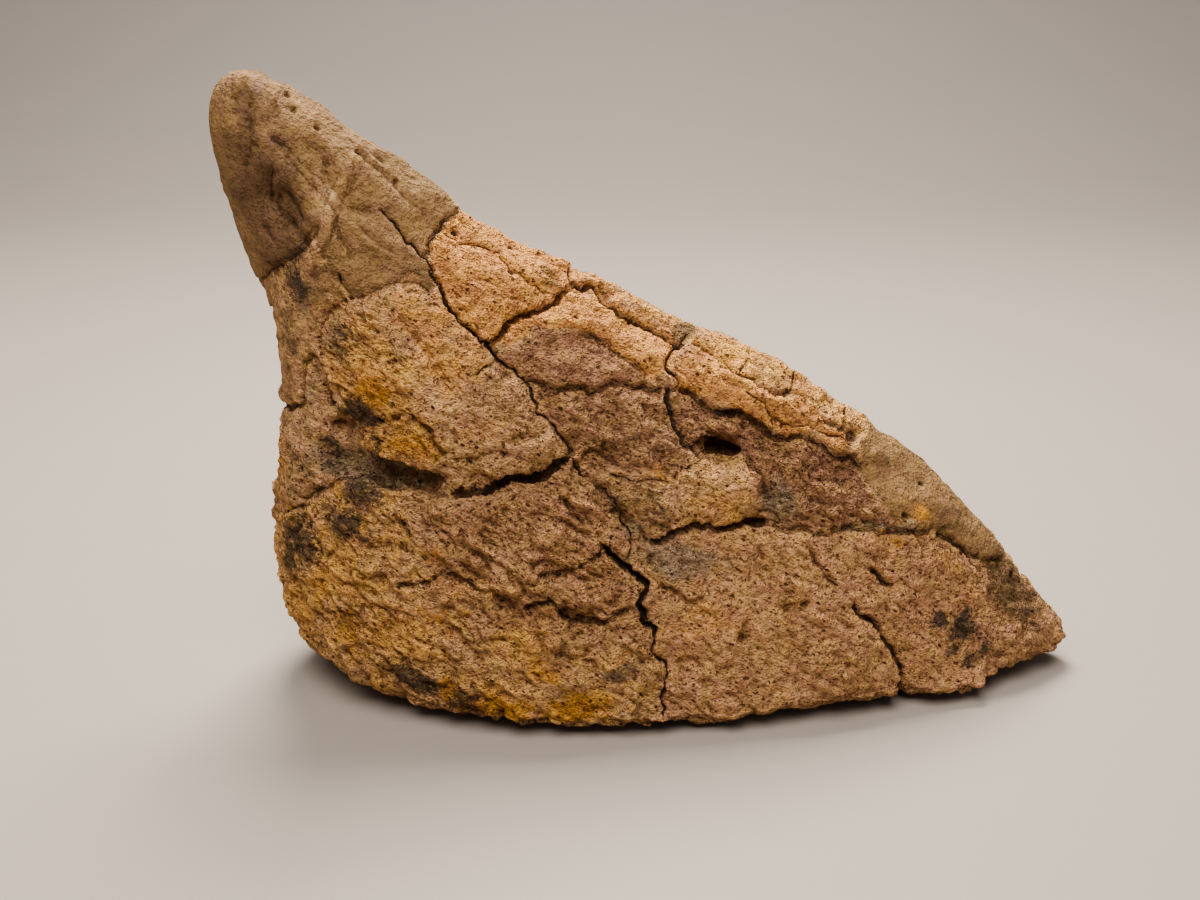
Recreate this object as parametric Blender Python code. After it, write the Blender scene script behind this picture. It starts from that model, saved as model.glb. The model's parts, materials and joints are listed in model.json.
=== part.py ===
"""Fossil ankylosaur scute: one closed solid of fossil bone, in metres, +Z up.

The scute is a tall keeled plate. In plan its rim is a teardrop, blunt at the heel (-X) and drawn out to a
nose (+X). The keel climbs from the nose to a blunt horn that leans back over the heel. Every level of the
body is a horizontal section between the back edge and the keel, and under the rim the sections close over a
shallow dish. Swellings, hollows, cracks, broken ledges and vessel pits are carved into the smooth body, the
rim is worn flat where it stands, and the fine mesh is thinned to the facets that hold the shape.

Places on the two flanks are read in side view, as (x, height) in millimetres.
"""

import math
from dataclasses import dataclass

import bpy
import numpy as np
from mathutils import Vector, noise

MM = 0.001
NEAR, FAR = -1, 1  # the flank towards -Y, and the one towards +Y

# Driving dimensions, in millimetres.
HEIGHT = 192.0
DISH_DEPTH = 8.0
WORN_OFF = 0.9  # what the worn flats have taken off the lowest points of the rim
FAR_SHARE = 0.9  # the far flank is flatter than the near one

# The outline in side view: (height, x) of the back edge and of the keel.
BACK_EDGE = (
    (0, -95), (5, -104), (12, -109.5), (24, -114), (42, -116.5), (60, -115.5), (76, -113), (92, -112),
    (106, -111.5), (118, -112.5), (130, -116), (142, -119.5), (156, -123.5), (168, -125.5),
    (178, -126.5), (184, -125), (189, -121), (192, -115),
)
KEEL = (
    (0, 129), (3, 138), (6, 141.5), (12, 139.5), (26, 130), (47, 113), (66, 95.5), (79, 79), (91, 63),
    (101, 47), (109, 32), (113.5, 22), (115.5, 14), (119, 8.5), (123, 0), (131, -15), (138, -30),
    (146, -45), (157, -60), (168, -74), (177, -88), (184, -98), (189, -107), (192, -115),
)
# (height, half width) where the near flank is thickest, and how far along the section that is.
HALF_WIDTH = (
    (0, 46.5), (4, 51.5), (12, 53.5), (30, 50), (60, 42), (90, 34), (110, 28), (130, 23), (150, 18.5),
    (170, 14), (180, 11), (187, 7.5), (190.5, 4), (192, 0),
)
WIDEST_AT = 0.37
RIM_LIFT = ((-120, 4), (-95, 3), (-75, 0), (85, 0), (110, 1.5), (142, 4))  # (x, lift) of the rim's two ends


@dataclass(frozen=True)
class Crack:
    """A crack or broken ledge along a route on one flank.

    depth is how far it cuts in, and left and right are the widths over which its two walls slope, seen from
    outside and along the route. drop lowers the ground on the right, which rises again over reach.
    """

    side: int
    route: tuple
    depth: float = 2.2
    left: float = 1.7
    right: float = 1.7
    drop: float = 0.0
    reach: float = 12.0


@dataclass(frozen=True)
class Dent:
    """A hollow in one flank, or a swelling if its depth is negative, as an ellipse that may be turned."""

    side: int
    centre: tuple
    radii: tuple
    depth: float
    turn_deg: float = 0.0


CRACKS = (
    # the long crack from the horn to the middle of the near flank, and on to the rim
    Crack(NEAR, ((-78, 154), (-73, 150), (-64, 140), (-57, 131), (-51, 122), (-44, 117)), left=2.0),
    Crack(NEAR, ((-44, 117), (-40, 110), (-33, 103), (-29, 97), (-20, 85)), depth=2.6, drop=0.8),
    Crack(NEAR, ((-20, 85), (-14, 79), (-7, 70), (-2, 64), (4, 58)), depth=2.4, left=3.2, right=2.4),
    Crack(
        NEAR,
        ((-11, 57), (-6, 52), (0, 48), (1, 40), (4, 29), (8, 22), (8, 10), (7, -6)),
        depth=3.2,
        right=2.2,
    ),
    # the broken ledge under the big upper block, with the block's rounded foot above it
    Crack(NEAR, ((-20, 85), (-27, 78), (-34, 77.5), (-41, 75), (-52, 74), (-60, 72.5)), 5.0, 1.6, 5.5),
    Crack(NEAR, ((-58, 73.5), (-66, 77), (-76, 78), (-86, 79)), 4.6, 3.5, 4.5),
    Crack(NEAR, ((-76, 80), (-83, 84), (-89, 92), (-94, 102), (-97, 109)), 3.2, 5.0, 1.6),
    Crack(
        NEAR,
        ((-97, 109), (-95, 116), (-89, 127), (-83, 130), (-76, 130.5), (-68, 134.5), (-60, 131)),
        1.6,
    ),
    # the heel: the notch in the back edge, and the crack down its face
    Crack(NEAR, ((-115, 92), (-109, 91.5), (-104, 96), (-102, 103), (-97, 109)), 2.4, 1.6, 2.4),
    Crack(NEAR, ((-86, 78), (-92, 74), (-99, 66), (-105, 57), (-116, 47)), 3.0, 3.4, 1.6),
    Crack(NEAR, ((-97, 148), (-101, 142), (-107, 137), (-111, 129), (-114, 119)), 2.0, 1.5, 3.0),
    # cracks that leave the long one for the keel
    Crack(NEAR, ((-44, 117), (-36, 121.5), (-27, 126.5), (-20, 130), (-20, 135)), 2.4),
    Crack(
        NEAR,
        ((-20, 130), (-14, 128), (-8, 124), (-3, 119), (5, 116), (12, 111), (16, 114)),
        2.6,
        1.8,
        1.6,
    ),
    Crack(NEAR, ((-55, 153), (-60, 146), (-63, 140)), 1.4),
    Crack(NEAR, ((-59, 146), (-50, 141.5), (-40, 137), (-27, 128)), 1.5),
    # the pocket's crack, and the ledge that parts the keel's blocks from the flank
    Crack(NEAR, ((-20, 105), (-10, 103.5), (0, 104.5), (5, 102), (12, 101.5)), 2.2),
    Crack(NEAR, ((-10, 116), (-4, 110), (4, 103)), 1.8),
    Crack(NEAR, ((12, 111), (8, 107), (13, 101)), 2.2),
    Crack(NEAR, ((7, 100), (11, 92), (17, 85), (24, 81), (31, 81), (39, 72)), 3.2, 2.6, 1.6),
    Crack(NEAR, ((12, 101.5), (20, 98.5), (29, 92), (41, 87), (52, 84.5)), 3.4, 3.6, 1.6, 1.6, 16),
    Crack(NEAR, ((52, 84.5), (59, 79), (68, 72), (77, 64)), 2.2, 2.6, 1.6, 0.8, 10),
    Crack(NEAR, ((30, 103), (40, 96), (49, 97), (58, 91), (68, 86)), 1.8),
    Crack(NEAR, ((38, 95), (42, 87)), 1.8),
    # the crack along the waist of the nose
    Crack(NEAR, ((-13, 78), (-3, 78), (10, 76), (19, 83)), 1.6),
    Crack(
        NEAR,
        ((4, 58), (11, 61), (29, 61), (41, 61), (52, 58.5), (66, 59.5), (90, 54), (101, 51)),
        2.2,
    ),
    Crack(NEAR, ((93, 52), (104, 44), (112, 40.5), (120, 40)), 1.4),
    Crack(NEAR, ((52, 51), (60, 42), (69, 31), (77, 23), (82, 12), (80, -6)), 1.9, 1.8, 1.6),
    # short cracks low on the flank, and two gouges
    Crack(NEAR, ((-72, 44), (-60, 49.5), (-45, 45), (-37, 40)), 2.0, 1.6, 2.4),
    Crack(NEAR, ((-38, 51), (-27, 51.5), (-11, 57)), 1.9),
    Crack(NEAR, ((-33, 41), (-27, 41), (-15, 37), (-3, 41)), 2.0),
    Crack(NEAR, ((-71, 124), (-62, 112), (-53, 101)), 1.4, 2.2, 2.2),
    Crack(NEAR, ((34, 57), (38, 48), (42, 43)), 1.5, 2.4, 2.4),
    Crack(NEAR, ((-73, 94), (-69, 98), (-61, 89), (-56, 84)), 1.5),
    # the far flank
    Crack(
        FAR,
        ((-20, 135), (-24, 121), (-40, 108), (-47, 92), (-66, 80), (-84, 76), (-100, 66), (-117, 58)),
        3.0,
    ),
    Crack(
        FAR,
        ((-47, 92), (-30, 84), (-17, 70), (4, 64), (14, 50), (12, 32), (20, 16), (18, -6)),
        3.2,
        2.4,
        1.6,
        1.2,
    ),
    Crack(
        FAR,
        ((14, 115), (16, 103), (30, 92), (34, 78), (52, 66), (76, 60), (104, 54)),
        2.6,
        1.6,
        2.8,
        1.0,
    ),
    Crack(FAR, ((4, 64), (22, 70), (34, 78)), 2.0),
    Crack(FAR, ((-55, 153), (-66, 140), (-80, 134), (-98, 128), (-114, 119)), 2.0),
    Crack(FAR, ((-66, 80), (-62, 62), (-72, 44), (-66, 26), (-74, 12), (-70, -6)), 2.4, 1.6, 2.0),
    Crack(FAR, ((-40, 108), (-60, 112), (-76, 104), (-84, 90), (-84, 76)), 2.0),
    Crack(FAR, ((52, 66), (58, 46), (72, 34), (74, 16), (84, -6)), 2.2),
    Crack(FAR, ((-17, 70), (-28, 54), (-26, 38), (-40, 26)), 1.8),
)

DENTS = (
    Dent(NEAR, (-91, 82), (10, 9), 4.0),  # the hollow of the heel
    Dent(NEAR, (25, 84), (8, 4), 7.0, -8),  # the pocket under the keel's blocks
    Dent(NEAR, (35.5, 63), (4, 2), 2.5),
    Dent(NEAR, (-12, 83), (8, 4), 2.0, 15),
    Dent(NEAR, (75, 73), (8, 4), 1.6, 15),
    Dent(NEAR, (45, 39), (6, 3), 1.8, 12),
    Dent(NEAR, (33, 31), (3.5, 5), 1.5),
    Dent(NEAR, (11, 26), (6, 4), 1.8),
    Dent(NEAR, (-3, 26), (7, 4), 1.4),
    Dent(NEAR, (-106, 152), (10, 18), 2.2, 12),  # the hollow back of the horn
    Dent(NEAR, (-90, 148), (5, 34), -1.8, -22),  # and its ridge
    Dent(NEAR, (-64, 100), (22, 18), -1.6, -30),
    Dent(NEAR, (-46, 48), (34, 20), -1.6),
    Dent(NEAR, (-84, 50), (16, 20), -1.5),
    Dent(NEAR, (101, 3), (16, 10), -5.2),
    Dent(NEAR, (56, 34), (24, 18), -1.2, -35),
    Dent(NEAR, (30, 72), (14, 10), -1.0),
    Dent(NEAR, (36, 96), (22, 7), -1.6, -30),
    Dent(FAR, (-92, 72), (14, 12), 3.5),
    Dent(FAR, (28, 80), (9, 6), 5.0, -20),
    Dent(FAR, (-106, 150), (10, 20), 2.0, 12),
    Dent(FAR, (-40, 40), (30, 20), -2.0),
    Dent(FAR, (60, 30), (26, 14), -1.6, -30),
    Dent(FAR, (-60, 110), (20, 16), -1.6, -30),
)

# Vessel pits: (side, x, height, diameter)
PITS = (
    (NEAR, -93, 176, 3), (NEAR, -82, 169, 3), (NEAR, -71, 161, 2.6), (NEAR, -101, 184, 2.6),
    (NEAR, -72, 112, 3.4), (NEAR, -60, 98.5, 2.8), (NEAR, -39, 134, 2.8), (NEAR, -54, 146, 2.8),
    (NEAR, -44, 107, 2.6), (NEAR, 89, 65, 3), (NEAR, 83, 60, 4), (NEAR, 121, 35, 2.8), (NEAR, -8, 125, 4),
    (NEAR, -42, 114, 3), (FAR, -95, 172, 3), (FAR, -84, 160, 3), (FAR, -98, 140, 3.4), (FAR, -52, 132, 3),
    (FAR, 6, 96, 3), (FAR, 92, 44, 3.2), (FAR, -30, 66, 3),
)

# The mesh: how finely the body is drawn before it is thinned.
AROUND, LEVELS, UNDERSIDE_RINGS = 520, 300, 60
THINNED_TO = 8800  # triangles
LUMPS = ((26.0, 1.1), (9.0, 0.5), (4.0, 0.22))  # (size, height) of the lumps all over the bone


def through(points, at):
    """A smooth curve through the points, read at the given places."""
    place, value = np.array(points, float).T
    slope = np.gradient(value, place)
    at = np.clip(at, place[0], place[-1])
    left = np.clip(np.searchsorted(place, at, side="right") - 1, 0, len(place) - 2)
    span = place[left + 1] - place[left]
    s = (at - place[left]) / span
    return (
        (2 * s**3 - 3 * s**2 + 1) * value[left]
        + (s**3 - 2 * s**2 + s) * span * slope[left]
        + (3 * s**2 - 2 * s**3) * value[left + 1]
        + (s**3 - s**2) * span * slope[left + 1]
    )


def thickness(along, height):
    """Half thickness of the near flank, from the back edge (along = 0) to the keel (along = 1)."""
    horn = np.clip((height - 70) / 80, 0, 1)  # the horn's sections are more like a lozenge
    behind = np.clip(1 - along / WIDEST_AT, 0, 1) ** (2 - 0.5 * horn)
    ahead = np.clip((along - WIDEST_AT) / (1 - WIDEST_AT), 0, 1) ** (1.62 - 0.22 * horn)
    share = np.where(
        along < WIDEST_AT,
        (1 - behind) ** (1 / (2 - 0.6 * horn)),
        (1 - ahead) ** (1 / (1.62 - 0.22 * horn)),
    )
    return through(HALF_WIDTH, height) * share


def flank(side, x, height):
    """The y of the smooth body on one flank at (x, height)."""
    back, keel = through(BACK_EDGE, height), through(KEEL, height)
    along = np.clip((x - back) / (keel - back), 0, 1)
    return side * (FAR_SHARE if side == FAR else 1) * thickness(along, height)


def smooth_body():
    """Rows of points from the middle of the underside, round the rim and up to the horn's tip."""
    turn = (np.arange(AROUND) / AROUND)[None, :]
    level = (np.arange(LEVELS) + 0.5)[:, None] / LEVELS
    height = HEIGHT * (0.5 - 0.5 * np.cos(math.pi * level)) + 0 * turn
    along = 0.5 + 0.5 * np.cos(2 * math.pi * turn) + 0 * level
    back, keel = through(BACK_EDGE, height), through(KEEL, height)
    side_share = np.where(np.sin(2 * math.pi * turn) > 0, -1, FAR_SHARE)
    wall = np.stack([back + (keel - back) * along, side_share * thickness(along, height), height], -1)
    inward = ((np.arange(UNDERSIDE_RINGS) + 0.5) / UNDERSIDE_RINGS)[:, None]
    under = wall[0][None, :, :] * inward[:, :, None]
    under[..., 2] = DISH_DEPTH * (1 - inward**4)
    points = np.concatenate([under, wall]).reshape(-1, 3)
    return np.vstack([points, [[0, 0, DISH_DEPTH], [BACK_EDGE[-1][1], 0, HEIGHT]]])


def body_faces():
    """Quads between the rows of smooth_body, and the two fans that close it."""
    rows = UNDERSIDE_RINGS + LEVELS
    row, column = np.meshgrid(np.arange(rows - 1), np.arange(AROUND), indexing="ij")
    after = (column + 1) % AROUND
    here, above = row * AROUND, (row + 1) * AROUND
    quads = np.stack([here + column, above + column, above + after, here + after], -1).reshape(-1, 4)
    start, last, under_pole = np.arange(AROUND), (rows - 1) * AROUND, rows * AROUND
    step = (start + 1) % AROUND
    under_fan = np.stack([np.full(AROUND, under_pole), start, step], -1)
    tip_fan = np.stack([np.full(AROUND, under_pole + 1), last + step, last + start], -1)
    return quads.tolist() + under_fan.tolist() + tip_fan.tolist()


def normals_of(points, faces):
    """Outward normals of the smooth body."""
    mesh = bpy.data.meshes.new("smooth body")
    mesh.from_pydata(points.tolist(), [], faces)
    normals = np.empty(len(points) * 3, np.float32)
    mesh.vertex_normals.foreach_get("vector", normals)
    bpy.data.meshes.remove(mesh)
    return normals.reshape(-1, 3).astype(float)


def on_flank(crack):
    """The crack's route laid on its flank, with a point every millimetre and a little wander."""
    corners = np.array(crack.route, float)
    run = np.concatenate([[0], np.cumsum(np.linalg.norm(np.diff(corners, axis=0), axis=1))])
    at = np.arange(0, run[-1], 1.0)
    x, height = np.interp(at, run, corners[:, 0]), np.interp(at, run, corners[:, 1])
    wander = np.array([noise.noise(Vector((a / 5.0, crack.side * 3.1, run[-1]))) for a in at]) * 1.1
    tangent = np.stack([np.gradient(x), np.gradient(height)], -1)
    tangent /= np.linalg.norm(tangent, axis=1)[:, None]
    x, height = x - wander * tangent[:, 1], height + wander * tangent[:, 0]
    return np.stack([x, flank(crack.side, x, height), np.clip(height, 0, HEIGHT)], -1)


def crack_depth(crack, points, normals):
    """How far the crack and its drop lower each point."""
    route = on_flank(crack)
    margin = max(crack.left, crack.right, crack.reach if crack.drop else 0)
    close = np.all((points > route.min(0) - margin) & (points < route.max(0) + margin), axis=1)
    lowered = np.zeros(len(points))
    if not close.any():
        return lowered
    offset = points[close][:, None, :] - route[None, :, :]
    nearest = np.argmin((offset**2).sum(-1), axis=1)
    offset = offset[np.arange(len(nearest)), nearest]
    distance = np.linalg.norm(offset, axis=1)
    tangent = np.gradient(route, axis=0)[nearest]
    on_left = (np.cross(normals[close], tangent) * offset).sum(-1) > 0
    wall = np.where(on_left, crack.left, crack.right)
    fading = np.clip(np.minimum(nearest, len(route) - 1 - nearest) / 7.0, 0, 1)
    cut = crack.depth * (0.25 + 0.75 * fading) * np.clip(1 - distance / wall, 0, 1) ** 0.8
    fallen = crack.drop * np.clip(1 - distance / crack.reach, 0, 1) * ~on_left * fading
    lowered[close] = np.maximum(cut, fallen)
    return lowered


def dent_depth(dent, points):
    """How far a hollow lowers each point, or a swelling raises it."""
    turn = math.radians(dent.turn_deg)
    x, height = points[:, 0] - dent.centre[0], points[:, 2] - dent.centre[1]
    across = (x * math.cos(turn) + height * math.sin(turn)) / dent.radii[0]
    up = (height * math.cos(turn) - x * math.sin(turn)) / dent.radii[1]
    bowl = np.clip(1 - across**2 - up**2, 0, 1)
    return dent.depth * bowl**1.5 * (np.sign(points[:, 1]) == dent.side)


def pit_depth(pit, points):
    """How far a vessel pit sinks each point."""
    side, x, height, diameter = pit
    centre = np.array([x, float(flank(side, np.array(x), np.array(height))), height])
    distance = np.linalg.norm(points - centre, axis=1)
    return 0.8 * diameter * np.clip(1 - (2 * distance / diameter) ** 2, 0, 1)


def lumps(points):
    """The lumpy relief of the whole surface."""
    raised = np.zeros(len(points))
    for size, height in LUMPS:
        scaled = points / size
        raised += height * np.array([noise.noise(Vector(p)) for p in scaled])
    return raised


def carved(points, normals):
    """The points with every crack, ledge, hollow, swelling, pit and lump cut into them."""
    lowered = np.zeros(len(points))
    for dent in DENTS:
        lowered += dent_depth(dent, points)
    cut = np.zeros(len(points))
    for crack in CRACKS:
        cut = np.maximum(cut, crack_depth(crack, points, normals))
    for pit in PITS:
        cut = np.maximum(cut, pit_depth(pit, points))
    points = points - normals * (lowered + cut - lumps(points))[:, None]
    low = np.clip(1 - points[:, 2] / 30, 0, 1)
    points[:, 2] += through(RIM_LIFT, points[:, 0]) * low
    return points


def worn_flat(points):
    """The points with the rim's lowest parts worn to one plane, and that plane put at height 0."""
    points[:, 2] = np.maximum(points[:, 2], WORN_OFF) - WORN_OFF
    return points


def thinned(mesh, target):
    """The mesh as the Decimate modifier leaves it."""
    draft = bpy.data.objects.new("draft", mesh)
    bpy.context.scene.collection.objects.link(draft)
    modifier = draft.modifiers.new("thin", "DECIMATE")
    modifier.ratio = target / sum(len(face.vertices) - 2 for face in mesh.polygons)
    evaluated = draft.evaluated_get(bpy.context.evaluated_depsgraph_get())
    result = bpy.data.meshes.new_from_object(evaluated)
    bpy.data.objects.remove(draft)
    bpy.data.meshes.remove(mesh)
    return result


def settle(mesh):
    """Centres the mesh on the origin in plan, in metres, with its worn flats exactly on height 0."""
    points = np.empty(len(mesh.vertices) * 3, np.float32)
    mesh.vertices.foreach_get("co", points)
    points = points.reshape(-1, 3)
    points[:, 2] = np.where(points[:, 2] < 0.08, 0, points[:, 2])
    points[:, :2] -= (points[:, :2].max(0) + points[:, :2].min(0)) / 2
    mesh.vertices.foreach_set("co", (points * MM).ravel())
    mesh.update()


def bone_material():
    """Warm brown fossil bone."""
    material = bpy.data.materials.new("fossil bone")
    material.use_nodes = True
    shader = material.node_tree.nodes["Principled BSDF"]
    shader.inputs["Base Color"].default_value = (0.38, 0.22, 0.11, 1)
    shader.inputs["Roughness"].default_value = 0.85
    return material


def main():
    """Builds the scute."""
    for obj in list(bpy.data.objects):
        bpy.data.objects.remove(obj)
    points, faces = smooth_body(), body_faces()
    points = worn_flat(carved(points, normals_of(points, faces)))
    mesh = bpy.data.meshes.new("scute")
    mesh.from_pydata(points.tolist(), [], faces)
    mesh = thinned(mesh, THINNED_TO)
    settle(mesh)
    mesh.shade_smooth()
    mesh.materials.append(bone_material())
    scute = bpy.data.objects.new("scute", mesh)
    bpy.context.scene.collection.objects.link(scute)


if __name__ == "__main__":
    main()
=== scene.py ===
"""Looks of a fossil ankylosaur scute, standing on a pale board in soft studio light.

The scute is one plate of fossil bone. A copy of its solid is meshed evenly and relaxed, then its plates,
cracks, ledges, hollows, vessel pits and grain are carved at their real fineness, and the stains that colour
it are stored as attributes, which one material turns into bone, ochre, mauve, olive skin, dust and soot.
The same material paints shade dark into cracks, hollows, pores and clefts, and two umber patches paint
shade on the horn's left face and along the middle valley.

Places on the bone are read in side view, as (x, height) in millimetres, or from below, as (x, y). They are
counted from the foot of the keel, which SIDE_VIEW_ORIGIN gives.
"""

import json
import logging
import math
from collections.abc import Sequence
from dataclasses import dataclass, field
from enum import Enum
from typing import Any

import bpy
import numpy as np
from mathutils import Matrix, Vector, noise
from mathutils.bvhtree import BVHTree
from mathutils.kdtree import KDTree

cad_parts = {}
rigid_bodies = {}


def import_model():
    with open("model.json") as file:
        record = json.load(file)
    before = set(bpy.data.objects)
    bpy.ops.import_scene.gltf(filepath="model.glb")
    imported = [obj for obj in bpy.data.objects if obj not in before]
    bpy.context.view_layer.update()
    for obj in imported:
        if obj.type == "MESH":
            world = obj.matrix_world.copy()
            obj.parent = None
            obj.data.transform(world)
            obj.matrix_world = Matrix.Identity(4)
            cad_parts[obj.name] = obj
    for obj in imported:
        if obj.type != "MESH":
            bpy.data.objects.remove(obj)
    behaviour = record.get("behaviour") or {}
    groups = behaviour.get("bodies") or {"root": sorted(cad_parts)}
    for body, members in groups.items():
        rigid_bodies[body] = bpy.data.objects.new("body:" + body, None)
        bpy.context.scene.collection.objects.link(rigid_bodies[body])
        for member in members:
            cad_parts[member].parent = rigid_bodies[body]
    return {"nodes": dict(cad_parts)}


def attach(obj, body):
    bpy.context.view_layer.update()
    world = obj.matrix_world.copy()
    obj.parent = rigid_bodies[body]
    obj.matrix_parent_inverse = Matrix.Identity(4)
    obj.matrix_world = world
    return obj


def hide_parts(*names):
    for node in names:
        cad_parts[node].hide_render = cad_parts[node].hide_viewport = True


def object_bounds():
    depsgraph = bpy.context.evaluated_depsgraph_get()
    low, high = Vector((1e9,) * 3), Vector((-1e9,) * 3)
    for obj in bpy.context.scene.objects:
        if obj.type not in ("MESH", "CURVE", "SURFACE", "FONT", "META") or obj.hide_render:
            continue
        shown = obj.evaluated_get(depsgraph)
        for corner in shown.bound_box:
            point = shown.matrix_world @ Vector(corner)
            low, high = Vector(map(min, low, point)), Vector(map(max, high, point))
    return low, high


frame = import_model()
SOLID_BOX = [list(corner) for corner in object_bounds()]

LOG = logging.getLogger("scute")
MM = 0.001
SIDE_VIEW_ORIGIN = np.array([-7.7, 3.0, -0.9])

Place = tuple[float, float]
Route = tuple[Place, ...]
Row = tuple[Any, ...]
Array = np.ndarray
Colour = tuple[float, float, float, float]


# ---- What is on the bone ----


class Aspect(Enum):
    """The side of the bone on which a place is read, as the direction outwards."""

    NEAR = (0, -1, 0)
    FAR = (0, 1, 0)
    BELOW = (0, 0, -1)


class Tint(Enum):
    """What colours the bone, in the order in which it is laid on."""

    PEACH = "peach"
    ROSE = "rose"
    OCHRE = "ochre"
    MAUVE = "mauve"
    OLIVE = "olive"
    UMBER = "umber"
    GOLD = "gold"
    DUST = "dust"
    SOOT = "soot"


class Cut(Enum):
    """How a fissure is cut: its gap, depth and worn lip in millimetres, and how dark the shade painted inside
    it is.
    """

    RIFT = (0.75, 3.8, 1.6, 1.0)
    CRACK = (0.45, 2.2, 1.3, 1.0)
    HAIRLINE = (0.28, 1.1, 1.1, 0.85)
    FURROW = (2.0, 0.6, 3.4, 0.0)


NEAR, FAR, BELOW = Aspect
PEACH, ROSE, OCHRE, MAUVE, OLIVE, UMBER, GOLD, DUST, SOOT = Tint
RIFT, CRACK, HAIRLINE, FURROW = Cut


@dataclass(frozen=True)
class Fissure:
    """A crack, furrow or broken ledge along a route.

    Attributes:
        cut: How it is cut.
        route: Places that it runs through.
        fade: Length over which it thins out at each end.
        wide: Factor on its gap.
        drop: How far the ground on the right of the route lies lower, seen from outside.
        reach: Distance over which that ground rises again.
        clean: Whether a drop's wall is smooth. Other walls break off in steps of a millimetre.
        aspect: The side it is on.
    """

    cut: Cut
    route: Route
    fade: float = 3.0
    wide: float = 1.0
    drop: float = 0.0
    reach: float = 10.0
    clean: bool = False
    aspect: Aspect = NEAR


@dataclass(frozen=True)
class Hollow:
    """An elliptical hollow, or a swelling if its depth is negative.

    Attributes:
        x: Its middle, along the bone.
        up: Its middle, across the bone.
        long: Its half size along its turn.
        wide: Its half size across its turn.
        depth: How deep it is, in millimetres.
        turn: Its turn in degrees.
        dark: How dark the shade painted in its inside is, from 0 to 1.
        aspect: The side it is on.
    """

    x: float
    up: float
    long: float
    wide: float
    depth: float
    turn: float = 0.0
    dark: float = 0.0
    aspect: Aspect = NEAR


@dataclass(frozen=True)
class Plate:
    """A block of the surface between cracks.

    Attributes:
        corners: Its outline.
        tints: What stains it, and how much.
        rise: How far it stands proud, in millimetres.
        rough: How spongy its surface is, from 0 to about 1.5.
        torn: How much its surface is torn into ridges, from 0 to 1.
        edge: Width of its soft edge in millimetres.
        aspect: The side it is on.
    """

    corners: Route
    tints: dict[Tint, float]
    rise: float = 0.0
    rough: float = 1.0
    torn: float = 0.0
    edge: float = 3.0
    aspect: Aspect = NEAR


@dataclass(frozen=True)
class Stain:
    """A cloudy elliptical patch of one tint.

    Attributes:
        tint: What it is made of.
        x: Its middle, along the bone.
        up: Its middle, across the bone.
        long: Its half size along its turn.
        wide: Its half size across its turn.
        strength: How strong it is in the middle.
        turn: Its turn in degrees.
        aspect: The side it is on.
    """

    tint: Tint
    x: float
    up: float
    long: float
    wide: float
    strength: float
    turn: float = 0.0
    aspect: Aspect = NEAR


def on(aspect: Aspect, kind: type, *rows: Row) -> tuple[Any, ...]:
    """Makes records that are all on one side.

    Args:
        aspect: The side they are on.
        kind: What they are.
        rows: The values of each, in the order of its attributes.

    Returns:
        One record for each row.
    """
    return tuple(kind(*row, aspect=aspect) for row in rows)


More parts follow.
